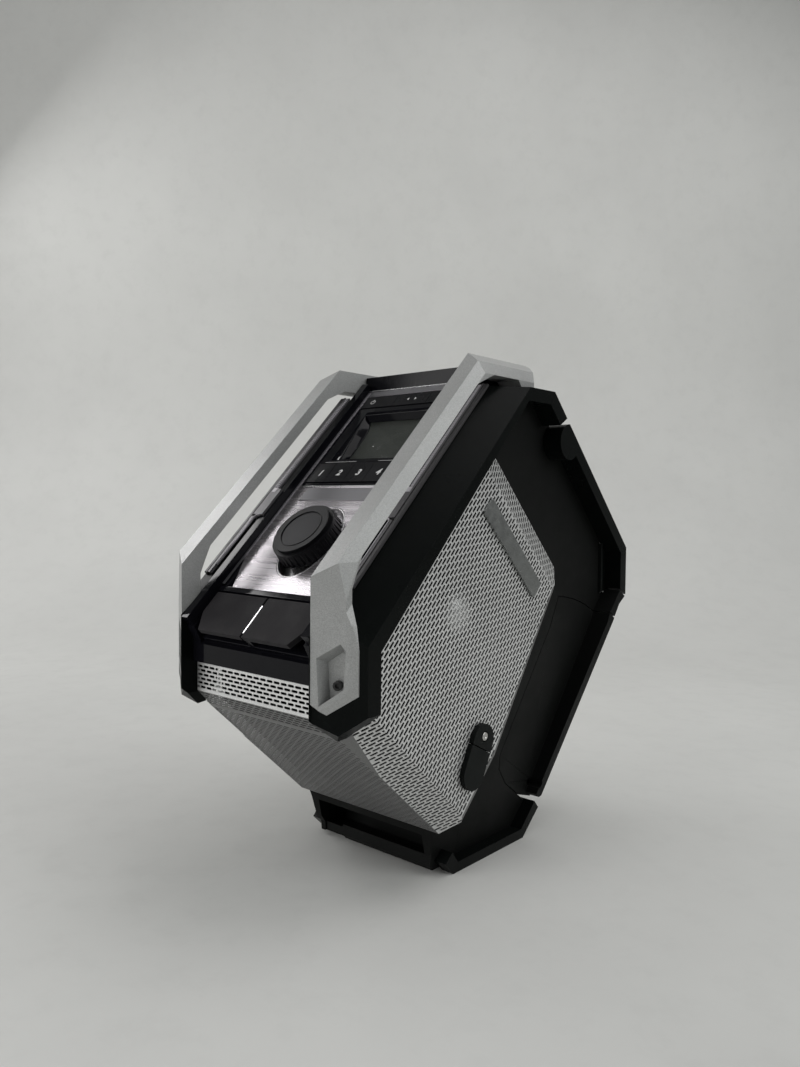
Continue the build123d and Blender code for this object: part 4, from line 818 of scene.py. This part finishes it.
def grille_sheet(name, node, centre, rule, margins, patches=()):
    """A perforated sheet in place of a plain one; rule gives the slots' direction on a flat."""
    sizes = bpy.context.scene.radio_sizes
    slot = (sizes.slot_length * PER_METRE, sizes.slot_width * PER_METRE)
    pitch = (sizes.slot_pitch * PER_METRE, sizes.row_pitch * PER_METRE)
    bm = outer_faces(node, centre)
    for patch in patches:
        bm.faces.new([bm.verts.new(Vector(corner) * MM) for corner in patch])
    bm.normal_update()
    fresh = bmesh.new()
    for group in flat_groups(bm):
        normal = group[0].normal
        along = rule(normal, sum(face.calc_area() for face in group))
        # Faces of the front grille that look down take the painted shade
        shaded_under_face = abs(normal.x) < ACROSS and normal.z < DOWNWARD
        if along is None:
            sheet = [[vert.co.copy() for vert in face.verts] for face in group]
        else:
            sheet = FlatSheet(group, along, slot, pitch, margins).faces()
        for corners in sheet:
            face = fresh.faces.new([fresh.verts.new(corner) for corner in corners])
            # Painted shade: the under face and the plain flats get the darkened copy of the grille paint
            face.material_index = 1 if shaded_under_face or along is None else 0
    bm.free()
    bmesh.ops.remove_doubles(fresh, verts=fresh.verts, dist=2e-6)
    bmesh.ops.dissolve_degenerate(fresh, edges=fresh.edges, dist=1e-7)
    for face in fresh.faces:
        if face.normal.dot(face.calc_center_median() - centre) < 0:
            face.normal_flip()
    mesh = bpy.data.meshes.new(name)
    fresh.to_mesh(mesh)
    fresh.free()
    piece = add_piece(name, mesh, "grille", smooth=False)
    # Second slot: the grille paint darkened as painted shade
    mesh.materials.append(finishes()["fold"])
    thick = piece.modifiers.new("sheet", "SOLIDIFY")
    thick.thickness = sizes.sheet
    thick.offset = -1.0
    thick.use_even_offset = True
    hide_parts(node)


def side_rule(side, normal, area):
    """Slots follow the edges of each flat that faces sideways; the folded border stays plain."""
    facing = normal.x * side
    if facing < SIDEWAYS:
        return None
    if facing > FLAT_ON:
        return Vector(MAIN_SLOTS)
    if normal.y > 0 and normal.z > 0:
        return Vector(UPPER_SLOTS)
    if normal.y < 0 and normal.z < 0:
        return Vector(LOWER_EDGE).cross(normal)
    return None


def front_rule(normal, area):
    """Slots run across the front grille's broad flats."""
    if area < LEAST_FLAT or abs(normal.x) > ACROSS:
        return None
    return Vector((1, 0, 0))


def open_edge(outward):
    """Slots run out over every edge, as they do at a fold."""
    return None


def front_edge(outward):
    """A narrow border at the long edges; slots run out at the ends."""
    return FRONT_BORDER if abs(outward.x) < SIDEWAYS else None


class RADIO_OT_grilles(bpy.types.Operator):
    """Perforated side and front grilles, in place of the plain sheets"""
    bl_idname = "radio.grilles"
    bl_label = "Grilles"

    def execute(self, context):
        for hand, side in SIDES:
            behind = Vector((side * SIDE_BEHIND[0], *SIDE_BEHIND[1:]))
            seam = [(side * x, y, z) for x, y, z in CORNER_SEAM]
            rule = partial(side_rule, side)
            grille_sheet(hand + "_grille", hand + "_side_grille", behind, rule, open_edge, (seam,))
        grille_sheet("front_mesh", "front_grille", Vector(FRONT_BEHIND), front_rule, front_edge)
        fold_half, fold_near, fold_far, fold_z, fold_height = 51.4, -128.2, -127.7, 124.3, 0.9
        fold = upright_mesh("strip_fold", middle_box(fold_half, fold_near, fold_far), fold_z, fold_height)
        piece = add_piece("strip_fold", fold, "chrome")
        return {"FINISHED"}


# ------------------------------------------------------------------ body
class RADIO_OT_shells(bpy.types.Operator):
    """Shells, base, battery cover and what they hold"""
    bl_idname = "radio.shells"
    bl_label = "Shells and base"

    def execute(self, context):
        edge = context.scene.radio_sizes.edge
        dress("body", edge * 0.5, "right_shell", "left_shell")
        dress("body", edge * 0.7, "battery_cover", "base_tray", "handle_recess", "cover_latch")
        dress("battery", edge * 1.5, "battery_pack", "battery_terminal")
        dress("board", 0.0, "main_board", "button_board")
        dress("matt", SOFT_EDGE, "speaker_baffle")
        # Speaker frames and cones darkened as painted shade behind the grilles
        dress("speaker", FIRM_EDGE, "right_speaker_frame", "left_speaker_frame", "woofer_frame")
        dress("cone", THIN_EDGE, "right_speaker_cone", "left_speaker_cone", "woofer_cone")
        dress("steel", FINE_EDGE, "hinge_pin", "handle_pivots", "housing_screws", "knob_shaft")
        dress("dark_steel", FINE_EDGE, "roll_bar_screws")
        dress("steel", THIN_EDGE, "knob_encoder")
        return {"FINISHED"}


class RADIO_OT_frames(bpy.types.Operator):
    """Side frames, feet and carry handle, with a seal behind each end of the handle"""
    bl_idname = "radio.frames"
    bl_label = "Frames, feet and handle"

    def execute(self, context):
        edge = context.scene.radio_sizes.edge
        dress("bumper", edge, "right_front_frame", "left_front_frame", "carry_handle")
        dress("bumper", edge, "right_foot_bumper", "left_foot_bumper")
        near, far = 62.6, 66.4
        front, back = 123.6, 125.9
        bottom, height = 154.5, 34.0
        for hand, side in SIDES:
            seal = upright_mesh("seal", side_box(side, near, far, front, back), bottom, height)
            piece = add_piece(hand + "_handle_seal", seal, "matt")
            soften(piece, THIN_EDGE, weld=False)
        return {"FINISHED"}


class RADIO_OT_bars(bpy.types.Operator):
    """Silver roll bars"""
    bl_idname = "radio.bars"
    bl_label = "Roll bars"

    def execute(self, context):
        bar_edge = context.scene.radio_sizes.bar_edge
        dress("silver", bar_edge, "right_roll_bar", "left_roll_bar", segments=3, angle=12.0)
        return {"FINISHED"}


# Trim strips: places across (x) and along (s) the slope, and levels square to it
TRIM_FOOT, TRIM_STEP, TRIM_TOP = 204.7, 205.6, 206.4
TRIM_INNER, TRIM_OUTER = 55.4, 57.4
TRIM_LOW, TRIM_HIGH = 40.5, 197.5
SLOT_HIGH = 86.0             # upper end of the open slot beside the strip
BRIDGE_INNER = 49.2          # the wide bridge above the slot
BRIDGE_LOW, BRIDGE_HIGH = 87.6, 109.5
GROOVE_INNER, GROOVE_OUTER = 53.0, 56.2
RIB_FOOT, RIB_TOP = 205.5, 206.55
RIB_START, RIB_PITCH, RIB_WIDTH = 111.4, 1.5, 0.9
RIB_COUNT = 57
BEAD_FOOT, BEAD_TOP, BEAD_DRAFT = 204.9, 206.6, 0.05


class RADIO_OT_trims(bpy.types.Operator):
    """Trim strips under the roll bars, with their ribs and slots"""
    bl_idname = "radio.trims"
    bl_label = "Trim strips"

    def execute(self, context):
        for hand, side in SIDES:
            piece = add_piece(hand + "_trim_face", self.face(side), "trim", smooth=False)
            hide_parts(hand + "_trim_rail")
            # Ribs in the trim colour brightened as a painted highlight
            piece = add_piece(hand + "_ribs", self.ribs(side), "rib", smooth=False)
            # Dark slab beside the roll bar that paints its shadow into the gap
            piece = add_piece(hand + "_painted_shadow_band", self.band(side), "band")
            soften(piece, THIN_EDGE, weld=False)
            # Bead along the slot with the same painted highlight
            piece = add_piece(hand + "_slot_edge", self.slot_edge(side), "rib")
        return {"FINISHED"}

    def slabs(self, name, side, *slabs):
        return slab_mesh(name, *((mirrored(corners, side), *levels) for corners, *levels in slabs))

    def face(self, side):
        draft = 0.1
        wall = box_corners(TRIM_INNER, TRIM_OUTER, TRIM_LOW, SLOT_HIGH)
        bridge = box_corners(BRIDGE_INNER, TRIM_OUTER, BRIDGE_LOW, BRIDGE_HIGH)
        ledge = box_corners(GROOVE_OUTER, TRIM_OUTER + 0.2, BRIDGE_HIGH, TRIM_HIGH)
        groove = box_corners(GROOVE_INNER, GROOVE_OUTER, BRIDGE_HIGH, TRIM_HIGH)
        return self.slabs(
            "rail", side,
            (wall, TRIM_FOOT, TRIM_TOP, draft), (bridge, TRIM_FOOT, TRIM_TOP, draft),
            (ledge, TRIM_FOOT, TRIM_TOP, draft), (groove, TRIM_FOOT, TRIM_STEP))

    def ribs(self, side):
        first = box_corners(GROOVE_INNER, GROOVE_OUTER + 0.1, BRIDGE_HIGH - 2.9, BRIDGE_HIGH + 1.1)
        slabs = [(first, RIB_FOOT, RIB_TOP, 0.2)]
        for index in range(RIB_COUNT):
            s = RIB_START + index * RIB_PITCH
            rib = box_corners(GROOVE_INNER + 1.0, GROOVE_OUTER, s, s + RIB_WIDTH)
            slabs.append((rib, RIB_FOOT, RIB_TOP, 0.15))
        return self.slabs("ribs", side, *slabs)

    def band(self, side):
        # Painted shadow in the gap beside the roll bar
        near, far, low, foot, top = 58.1, 60.6, 40.0, 204.5, 206.3
        return self.slabs("band", side, (box_corners(near, far, low, TRIM_HIGH), foot, top, 0.3))

    def slot_edge(self, side):
        """A thin bead along the slot that turns in at its upper end."""
        straight = box_corners(55.0, 55.5, 47.0, 84.6)
        corner = [(55.0, 84.6), (55.5, 84.6), (54.4, 86.9), (54.0, 86.4)]
        end = [(54.0, 86.4), (54.4, 86.9), (51.6, 87.7), (51.6, 87.2)]
        levels = (BEAD_FOOT, BEAD_TOP, BEAD_DRAFT)
        return self.slabs("slot_end", side, (straight, *levels), (corner, *levels), (end, *levels))


# ------------------------------------------------------------------ console
class RADIO_OT_console(bpy.types.Operator):
    """Console housing, brushed plate, bezel and their bright edges"""
    bl_idname = "radio.console"
    bl_label = "Console"

    def execute(self, context):
        dress("gloss", context.scene.radio_sizes.edge * 0.6, "console_housing")
        dress("plate", FINE_EDGE, "brushed_plate")
        dress("dish", FIRM_EDGE, "knob_dish", segments=3)
        dress("gloss", FIRM_EDGE, "display_bezel", "port_panel")
        self.grey_strip()
        self.bright_edges()
        self.side_lines()
        self.top_bands()
        return {"FINISHED"}

    def grey_strip(self):
        half, low, high = 35.6, 106.0, 116.4
        strip = (middle_box(half, low, high), PLATE_TOP - 0.2, PLATE_TOP + 0.5, 0.3)
        piece = add_piece("grey_strip", slab_mesh("grey_strip", strip), "strip")
        soften(piece, 0.00015, weld=False)

    def bright_edges(self):
        foot, draft = PLATE_TOP - 0.4, 0.1
        upper = (middle_box(46.3, 209.4, 210.2), foot, PLATE_TOP + 0.9, draft)
        lower = (middle_box(42.4, 117.3, 118.2), foot, PLATE_TOP + 0.8, draft)
        piece = add_piece("bright_edges", slab_mesh("bright_edges", upper, lower), "chrome")
        soften(piece, HAIR_EDGE, weld=False)

    def side_lines(self):
        """Two fine lines down each side of the plate."""
        low, high, width = 38.0, 209.3, 0.35
        lines = [
            (side_box(side, near, near + width, low, high), PLATE_TOP - 0.4, PLATE_TOP + 0.45, 0.05)
            for side in (-1, 1) for near in (45.4, 46.4)]
        piece = add_piece("side_lines", slab_mesh("side_lines", *lines), "strip", smooth=False)

    def top_bands(self):
        """Two flat bands between the display bezel and the hood."""
        half = 44.0
        bands = [
            (middle_box(half, low, high), PLATE_TOP - 0.1, PLATE_TOP + 0.35, 0.1)
            for low, high in ((204.6, 209.2), (200.4, 203.6))]
        piece = add_piece("top_bands", slab_mesh("top_bands", *bands), "strip", smooth=False)


# Display well: half widths across the slope, places along it and levels square to it
WELL_HALF, WELL_LOW, WELL_HIGH = 32.0, 140.6, 186.0
RIM_HALF, RIM_FLARE, RIM_SQUARE = 23.4, 0.19, 139.8      # the rim widens up the slope
RIM_HIGH = WELL_HIGH - 3.0
RIM_ROLL, RIM_DROP = 0.3, 0.4                            # rounding of the rim
OPENING_HALF, OPENING_LOW, OPENING_HIGH = 23.2, 143.6, 180.5
OPENING_BOW, BOW_START = 0.00037, 156.0                  # the opening's sides curve outwards
OPENING_LEVEL, OPENING_LIP = 197.4, 0.6
WELL_SKIN = 0.06
WELL_STEPS = 12


def well_rings():
    """Five rings of the display well, from its flat surround down to the opening over the lens."""
    rings = [[], [], [], [], []]
    for side in (-1, 1):
        steps = range(WELL_STEPS + 1)
        for step in (steps if side < 0 else reversed(steps)):
            share = step / WELL_STEPS
            s = WELL_LOW + (WELL_HIGH - WELL_LOW) * share
            rim_s = WELL_LOW + (RIM_HIGH - WELL_LOW) * share
            opening_s = OPENING_LOW + (OPENING_HIGH - OPENING_LOW) * share
            rim_x = RIM_HALF + RIM_FLARE * (rim_s - RIM_SQUARE)
            opening_x = OPENING_HALF + OPENING_BOW * max(0.0, opening_s - BOW_START) ** 3
            rings[0].append(on_slope(side * WELL_HALF, s, BEZEL_TOP + WELL_SKIN))
            rings[1].append(on_slope(side * rim_x, rim_s, BEZEL_TOP + WELL_SKIN))
            rings[2].append(on_slope(side * (rim_x - RIM_ROLL), rim_s - RIM_ROLL, BEZEL_TOP - RIM_DROP))
            rings[3].append(on_slope(side * opening_x, opening_s, OPENING_LEVEL))
            lip_x = opening_x - OPENING_LIP
            rings[4].append(on_slope(side * lip_x, opening_s, OPENING_LEVEL - OPENING_LIP / 2))
    return rings


class RADIO_OT_display(bpy.types.Operator):
    """Display well, lens and display"""
    bl_idname = "radio.display"
    bl_label = "Display"

    def execute(self, context):
        dress("lcd", FINE_EDGE, "lcd_module")
        rings = well_rings()

        def well(bm):
            loops = [[bm.verts.new(point) for point in ring] for ring in rings]
            count = len(rings[0])
            for low, high in zip(loops, loops[1:]):
                for k in range(count):
                    follow = (k + 1) % count
                    bm.faces.new((low[k], low[follow], high[follow], high[k]))

        piece = add_piece("display_well", mesh_from("well", well), "gloss")
        piece.data.set_sharp_from_angle(angle=math.radians(25.0))
        thick = piece.modifiers.new("wall", "SOLIDIFY")
        thick.thickness = 0.0004

        lens_half, lens_low, lens_high = 29.0, 143.0, 181.0
        glass = (middle_box(lens_half, lens_low, lens_high), OPENING_LEVEL - 0.5, OPENING_LEVEL - 0.2, 0.05)
        piece = add_piece("display_glass", slab_mesh("glass", glass), "lens")
        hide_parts("display_lens")
        return {"FINISHED"}


# ------------------------------------------------------------------ controls
PRESETS = 5
PRESET_PITCH = 16.1
PRESET_MIDDLE = 128.2        # middle of the preset row, up the slope
TOP_MIDDLE = 196.2           # middle of the top row
POWER_X, STEP_X, TIMER_X = -33.5, 2.4, 27.6
RULE_LOW, RULE_HIGH = 138.55, 138.75
NUMERAL_LEAN = 0.18
NUMERAL_STROKE = 0.03        # share of a numeral's height that thickens its strokes
NUMERAL_DEPTH = 0.00004      # metres
NUMERAL_GAP = 0.01


def numeral(text, x, height, body):
    """A leaning numeral printed on a preset button."""
    curve = bpy.data.curves.new("numeral_" + text, "FONT")
    curve.body = text
    curve.align_x = "CENTER"
    curve.align_y = "CENTER"
    curve.size = height
    curve.shear = NUMERAL_LEAN
    curve.offset = height * NUMERAL_STROKE
    curve.extrude = NUMERAL_DEPTH
    curve.resolution_u = 6
    model = bpy.data.objects.new("numeral_model", curve)
    bpy.context.scene.collection.objects.link(model)
    bpy.context.view_layer.update()
    mesh = bpy.data.meshes.new_from_object(model.evaluated_get(bpy.context.evaluated_depsgraph_get()))
    bpy.data.objects.remove(model)
    mesh.transform(slope_matrix(x, PRESET_MIDDLE, BUTTON_TOP + NUMERAL_GAP))
    mesh.materials.clear()
    add_piece("numeral_" + text, mesh, "ink", body, smooth=False)


def mark(name, mesh, body="radio"):
    """A mark printed in white."""
    add_piece(name, mesh, "ink", body, smooth=False)


class RADIO_OT_buttons(bpy.types.Operator):
    """Preset and top buttons with their printed marks"""
    bl_idname = "radio.buttons"
    bl_label = "Buttons"

    def execute(self, context):
        height = context.scene.radio_sizes.numeral
        for index in range(PRESETS):
            number = str(index + 1)
            node = "preset_button_" + number
            dress("button", SOFT_EDGE, node, segments=3)
            numeral(number, (index - PRESETS // 2) * PRESET_PITCH, height, body_of_node(node))
        tops = ("top_button_1", "top_button_2", "top_button_3")
        dress("button", SOFT_EDGE, *tops, segments=3)
        mark("power_mark", mesh_from("power", self.power), body_of_node(tops[0]))
        mark("step_mark", mesh_from("arrow", self.arrows), body_of_node(tops[1]))
        mark("timer_mark", mesh_from("dial", self.dial), body_of_node(tops[2]))
        rules = [
            (box_corners(x0, x1, RULE_LOW, RULE_HIGH), BEZEL_TOP, BEZEL_TOP + 0.04)
            for x0, x1 in ((-36.0, -9.0), (9.0, 36.0))]
        mark("preset_rules", slab_mesh("rules", *rules))
        return {"FINISHED"}

    def power(self, bm):
        """An open ring with a stroke at its gap."""
        outer, inner, gap, half = 1.9, 1.45, 0.9, 0.25
        ring_slab(bm, POWER_X, TOP_MIDDLE, BUTTON_TOP, outer, inner, PRINT, gap)
        stroke = box_corners(POWER_X - half, POWER_X + half, TOP_MIDDLE + 0.2, TOP_MIDDLE + 2.4)
        slope_slab(bm, stroke, BUTTON_TOP, BUTTON_TOP + PRINT)

    def arrows(self, bm):
        """Two triangles that point apart."""
        reach, half = 1.4, 1.2
        for side in (-1, 1):
            x = side * STEP_X
            corners = [(x, TOP_MIDDLE - half), (x + side * reach, TOP_MIDDLE), (x, TOP_MIDDLE + half)]
            slope_slab(bm, corners, BUTTON_TOP, BUTTON_TOP + PRINT)

    def dial(self, bm):
        """A ring with one hand."""
        outer, inner, half = 1.9, 1.5, 0.2
        ring_slab(bm, TIMER_X, TOP_MIDDLE, BUTTON_TOP, outer, inner, PRINT)
        hand = box_corners(TIMER_X - half, TIMER_X + half, TOP_MIDDLE, TOP_MIDDLE + 1.4)
        slope_slab(bm, hand, BUTTON_TOP, BUTTON_TOP + PRINT)


class RADIO_OT_knob(bpy.types.Operator):
    """Tuning knob with its cap and turned ring"""
    bl_idname = "radio.knob"
    bl_label = "Tuning knob"

    def execute(self, context):
        dress("knob", 0.00025, "tuning_knob", angle=35.0)
        dress("cap", THIN_EDGE, "knob_cap")
        place, level, height = 73.6, DECK + 11.9, 0.35
        outer, inner, steps = 13.4, 12.75, 96

        def ring(bm):
            ring_slab(bm, 0.0, place, level, outer, inner, height, count=steps)

        piece = add_piece("knob_ring", mesh_from("ring", ring), "knob", "knob")
        soften(piece, HAIR_EDGE, weld=False)
        return {"FINISHED"}


class RADIO_OT_doors(bpy.types.Operator):
    """Rubber port doors, sockets and the bright strip between the doors"""
    bl_idname = "radio.doors"
    bl_label = "Port doors"

    def execute(self, context):
        dress("rubber", RUBBER_EDGE, "usb_door", "aux_door", segments=3)
        dress("steel", FINE_EDGE, "usb_socket")
        dress("dark_steel", FINE_EDGE, "aux_socket")
        half, low, high, foot, top = 0.62, 7.2, 26.0, 197.4, 200.8
        strip = (middle_box(half, low, high), foot, top, 0.1)
        piece = add_piece("door_strip", slab_mesh("strip", strip), "chrome")
        soften(piece, FINE_EDGE, weld=False)
        return {"FINISHED"}


class RADIO_OT_inlet(bpy.types.Operator):
    """Oval inlet cover, its flap, screw and jack"""
    bl_idname = "radio.inlet"
    bl_label = "Inlet cover"

    def execute(self, context):
        dress("matt", COVER_EDGE, "dc_cover_plate", "dc_flap", segments=3)
        dress("steel", FINE_EDGE, "dc_jack")
        middle_y, middle_z, reach = -28.0, 73.0, 12.0
        lean = math.radians(62.5)
        y = middle_y + reach * math.cos(lean)
        z = middle_z + reach * math.sin(lean)
        rim = ((2.45, 72.7), (2.45, 73.1), (2.0, 73.35))
        recess = ((1.15, 73.35), (1.0, 72.6), (0.0, 72.5))
        steps = 24
        head = [(radius * MM, x * MM) for radius, x in rim + recess]
        piece = add_piece("inlet_screw", turned_mesh("screw", y * MM, z * MM, head, steps), "steel")
        return {"FINISHED"}


class RADIO_OT_badges(bpy.types.Operator):
    """Bare badge plates on the side grilles"""
    bl_idname = "radio.badges"
    bl_label = "Badge plates"

    def execute(self, context):
        dress("badge", SOFT_EDGE, "badge_plates", segments=3)
        return {"FINISHED"}


class RADIO_OT_speakers(bpy.types.Operator):
    """Dust caps of the side loudspeakers, near white: partly their silver, partly a painted highlight"""
    bl_idname = "radio.speakers"
    bl_label = "Dust caps"

    def execute(self, context):
        # Metres; a cap's foot lies this deep behind the rim of its cone
        radius, height, depth = 0.0125, 0.007, 0.013
        steps, count = 6, 32
        for hand, side in SIDES:
            low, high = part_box(hand + "_speaker_cone")
            face = (high.x if side > 0 else -low.x) - depth
            angles = [math.pi / 2 * step / steps for step in range(steps + 1)]
            dome = [(radius * math.cos(a), side * (face + height * math.sin(a))) for a in angles]
            y, z = (low.y + high.y) / 2, (low.z + high.z) / 2
            piece = add_piece(hand + "_dust_cap", turned_mesh("dome", y, z, dome, count), "dust")
        return {"FINISHED"}


# ------------------------------------------------------------------ studio
FRONT_SHARE = 2.3            # power of the front softbox, as a share of the left one

# Floor and backdrop, in metres from the radio
FLOOR_NEAR, FLOOR_SIDE = -3.0, 3.0
COVE_START, COVE_RADIUS, COVE_STEPS = 0.55, 0.6, 12
BACKDROP_HEIGHT = 3.2


class RADIO_OT_studio(bpy.types.Operator):
    """Plain floor and backdrop, soft lamps and the camera"""
    bl_idname = "radio.studio"
    bl_label = "Studio"

    def execute(self, context):
        scene = context.scene
        studio = scene.radio_studio
        self.ground(studio)
        self.lamps(scene, studio)
        self.camera(scene, studio)
        scene.view_settings.view_transform = "Standard"
        return {"FINISHED"}

    def ground(self, studio):
        """A floor that sweeps up into the backdrop behind the radio."""
        turn = studio.camera_turn
        away = Vector((-math.sin(turn), math.cos(turn), 0.0))
        beside = Vector((math.cos(turn), math.sin(turn), 0.0))
        profile = [(FLOOR_NEAR, 0.0), (COVE_START, 0.0)]
        for step in range(1, COVE_STEPS + 1):
            angle = math.pi / 2 * step / COVE_STEPS
            profile.append((COVE_START + COVE_RADIUS * math.sin(angle), COVE_RADIUS * (1 - math.cos(angle))))
        profile.append((COVE_START + COVE_RADIUS, BACKDROP_HEIGHT))

        def sweep(bm):
            rows = []
            for reach, height in profile:
                middle = away * reach + Vector((0, 0, height))
                offsets = (-FLOOR_SIDE, 0.0, FLOOR_SIDE)
                rows.append([bm.verts.new(middle + beside * offset) for offset in offsets])
            for low, high in zip(rows, rows[1:]):
                for k in range(2):
                    bm.faces.new((low[k], low[k + 1], high[k + 1], high[k]))

        mesh = mesh_from("ground", sweep)
        floor = bpy.data.objects.new("studio_floor", mesh)
        bpy.context.scene.collection.objects.link(floor)
        mesh.materials.append(studio_ground("studio ground", studio.floor))
        for polygon in mesh.polygons:
            polygon.use_smooth = True

    def lamps(self, scene, studio):
        def softbox(name, place, target, size, power, tint):
            data = bpy.data.lights.new(name, "AREA")
            data.shape = "RECTANGLE"
            data.size, data.size_y = size
            data.energy = power
            data.color = tint
            lamp = bpy.data.objects.new(name, data)
            lamp.location = place
            lamp.rotation_euler = (Vector(target) - Vector(place)).to_track_quat("-Z", "Y").to_euler()
            scene.collection.objects.link(lamp)

        front = studio.left * FRONT_SHARE
        softbox("overhead", (0.35, 0.45, 1.4), (0, 0, 0.15), (1.2, 1.1), studio.key, (1.0, 0.985, 0.985))
        softbox("right side", (1.35, 0.3, 0.85), (0, 0, 0.15), (1.0, 0.9), studio.side, (0.98, 1.0, 0.99))
        softbox("left side", (-1.25, -0.2, 1.0), (0, -0.1, 0.18), (0.7, 0.3), studio.left, (1.0, 0.99, 0.99))
        softbox("front", (-0.6, -1.5, 0.5), (0, 0, 0.12), (1.2, 0.8), front, (1.0, 0.99, 0.98))
        world = bpy.data.worlds.new("room")
        scene.world = world
        world.use_nodes = True
        sky = world.node_tree.nodes["Background"]
        sky.inputs["Color"].default_value = (0.93, 0.94, 0.94, 1.0)
        sky.inputs["Strength"].default_value = studio.sky

    def camera(self, scene, studio):
        turn, dip, roll = studio.camera_turn, studio.camera_dip, studio.camera_roll
        ahead = Vector((-math.sin(turn) * math.cos(dip), math.cos(turn) * math.cos(dip), -math.sin(dip)))
        right = ahead.cross(Vector((0, 0, 1))).normalized()
        down = ahead.cross(right)
        leaned = right * math.cos(roll) + down * math.sin(roll)
        below = down * math.cos(roll) - right * math.sin(roll)
        data = bpy.data.cameras.new("camera")
        data.lens = studio.lens
        data.sensor_width = 36.0
        data.clip_start = 0.01
        camera = bpy.data.objects.new("camera", data)
        scene.collection.objects.link(camera)
        axes = Matrix((leaned, -below, -ahead)).transposed().to_4x4()
        camera.matrix_world = Matrix.Translation(Vector(studio.camera_place)) @ axes
        scene.camera = camera


# ------------------------------------------------------------------ panel and run
OPERATORS = (
    RADIO_OT_studio,
    RADIO_OT_shells,
    RADIO_OT_frames,
    RADIO_OT_bars,
    RADIO_OT_trims,
    RADIO_OT_console,
    RADIO_OT_display,
    RADIO_OT_buttons,
    RADIO_OT_knob,
    RADIO_OT_doors,
    RADIO_OT_inlet,
    RADIO_OT_speakers,
    RADIO_OT_grilles,
    RADIO_OT_badges,
)


class RADIO_PT_panel(bpy.types.Panel):
    """Sidebar panel with the radio's sizes, colours and steps"""
    bl_idname = "RADIO_PT_panel"
    bl_label = "Jobsite radio"
    bl_space_type = "VIEW_3D"
    bl_region_type = "UI"
    bl_category = "Radio"

    def draw(self, context):
        scene = context.scene
        for group in (scene.radio_sizes, scene.radio_colours, scene.radio_studio):
            column = self.layout.column(align=True)
            for name in group.__annotations__:
                column.prop(group, name)
        for operator in OPERATORS:
            self.layout.operator(operator.bl_idname)


CLASSES = (RadioSizes, RadioColours, StudioSettings, *OPERATORS, RADIO_PT_panel)


def register():
    for item in CLASSES:
        bpy.utils.register_class(item)
    bpy.types.Scene.radio_sizes = bpy.props.PointerProperty(type=RadioSizes)
    bpy.types.Scene.radio_colours = bpy.props.PointerProperty(type=RadioColours)
    bpy.types.Scene.radio_studio = bpy.props.PointerProperty(type=StudioSettings)


def unregister():
    del bpy.types.Scene.radio_studio
    del bpy.types.Scene.radio_colours
    del bpy.types.Scene.radio_sizes
    for item in reversed(CLASSES):
        bpy.utils.unregister_class(item)


def main():
    """Makes the radio's looks, piece by piece."""
    register()
    for operator in OPERATORS:
        group, step = operator.bl_idname.split(".")
        getattr(getattr(bpy.ops, group), step)()
    bpy.context.view_layer.update()


if __name__ == "__main__":
    main()
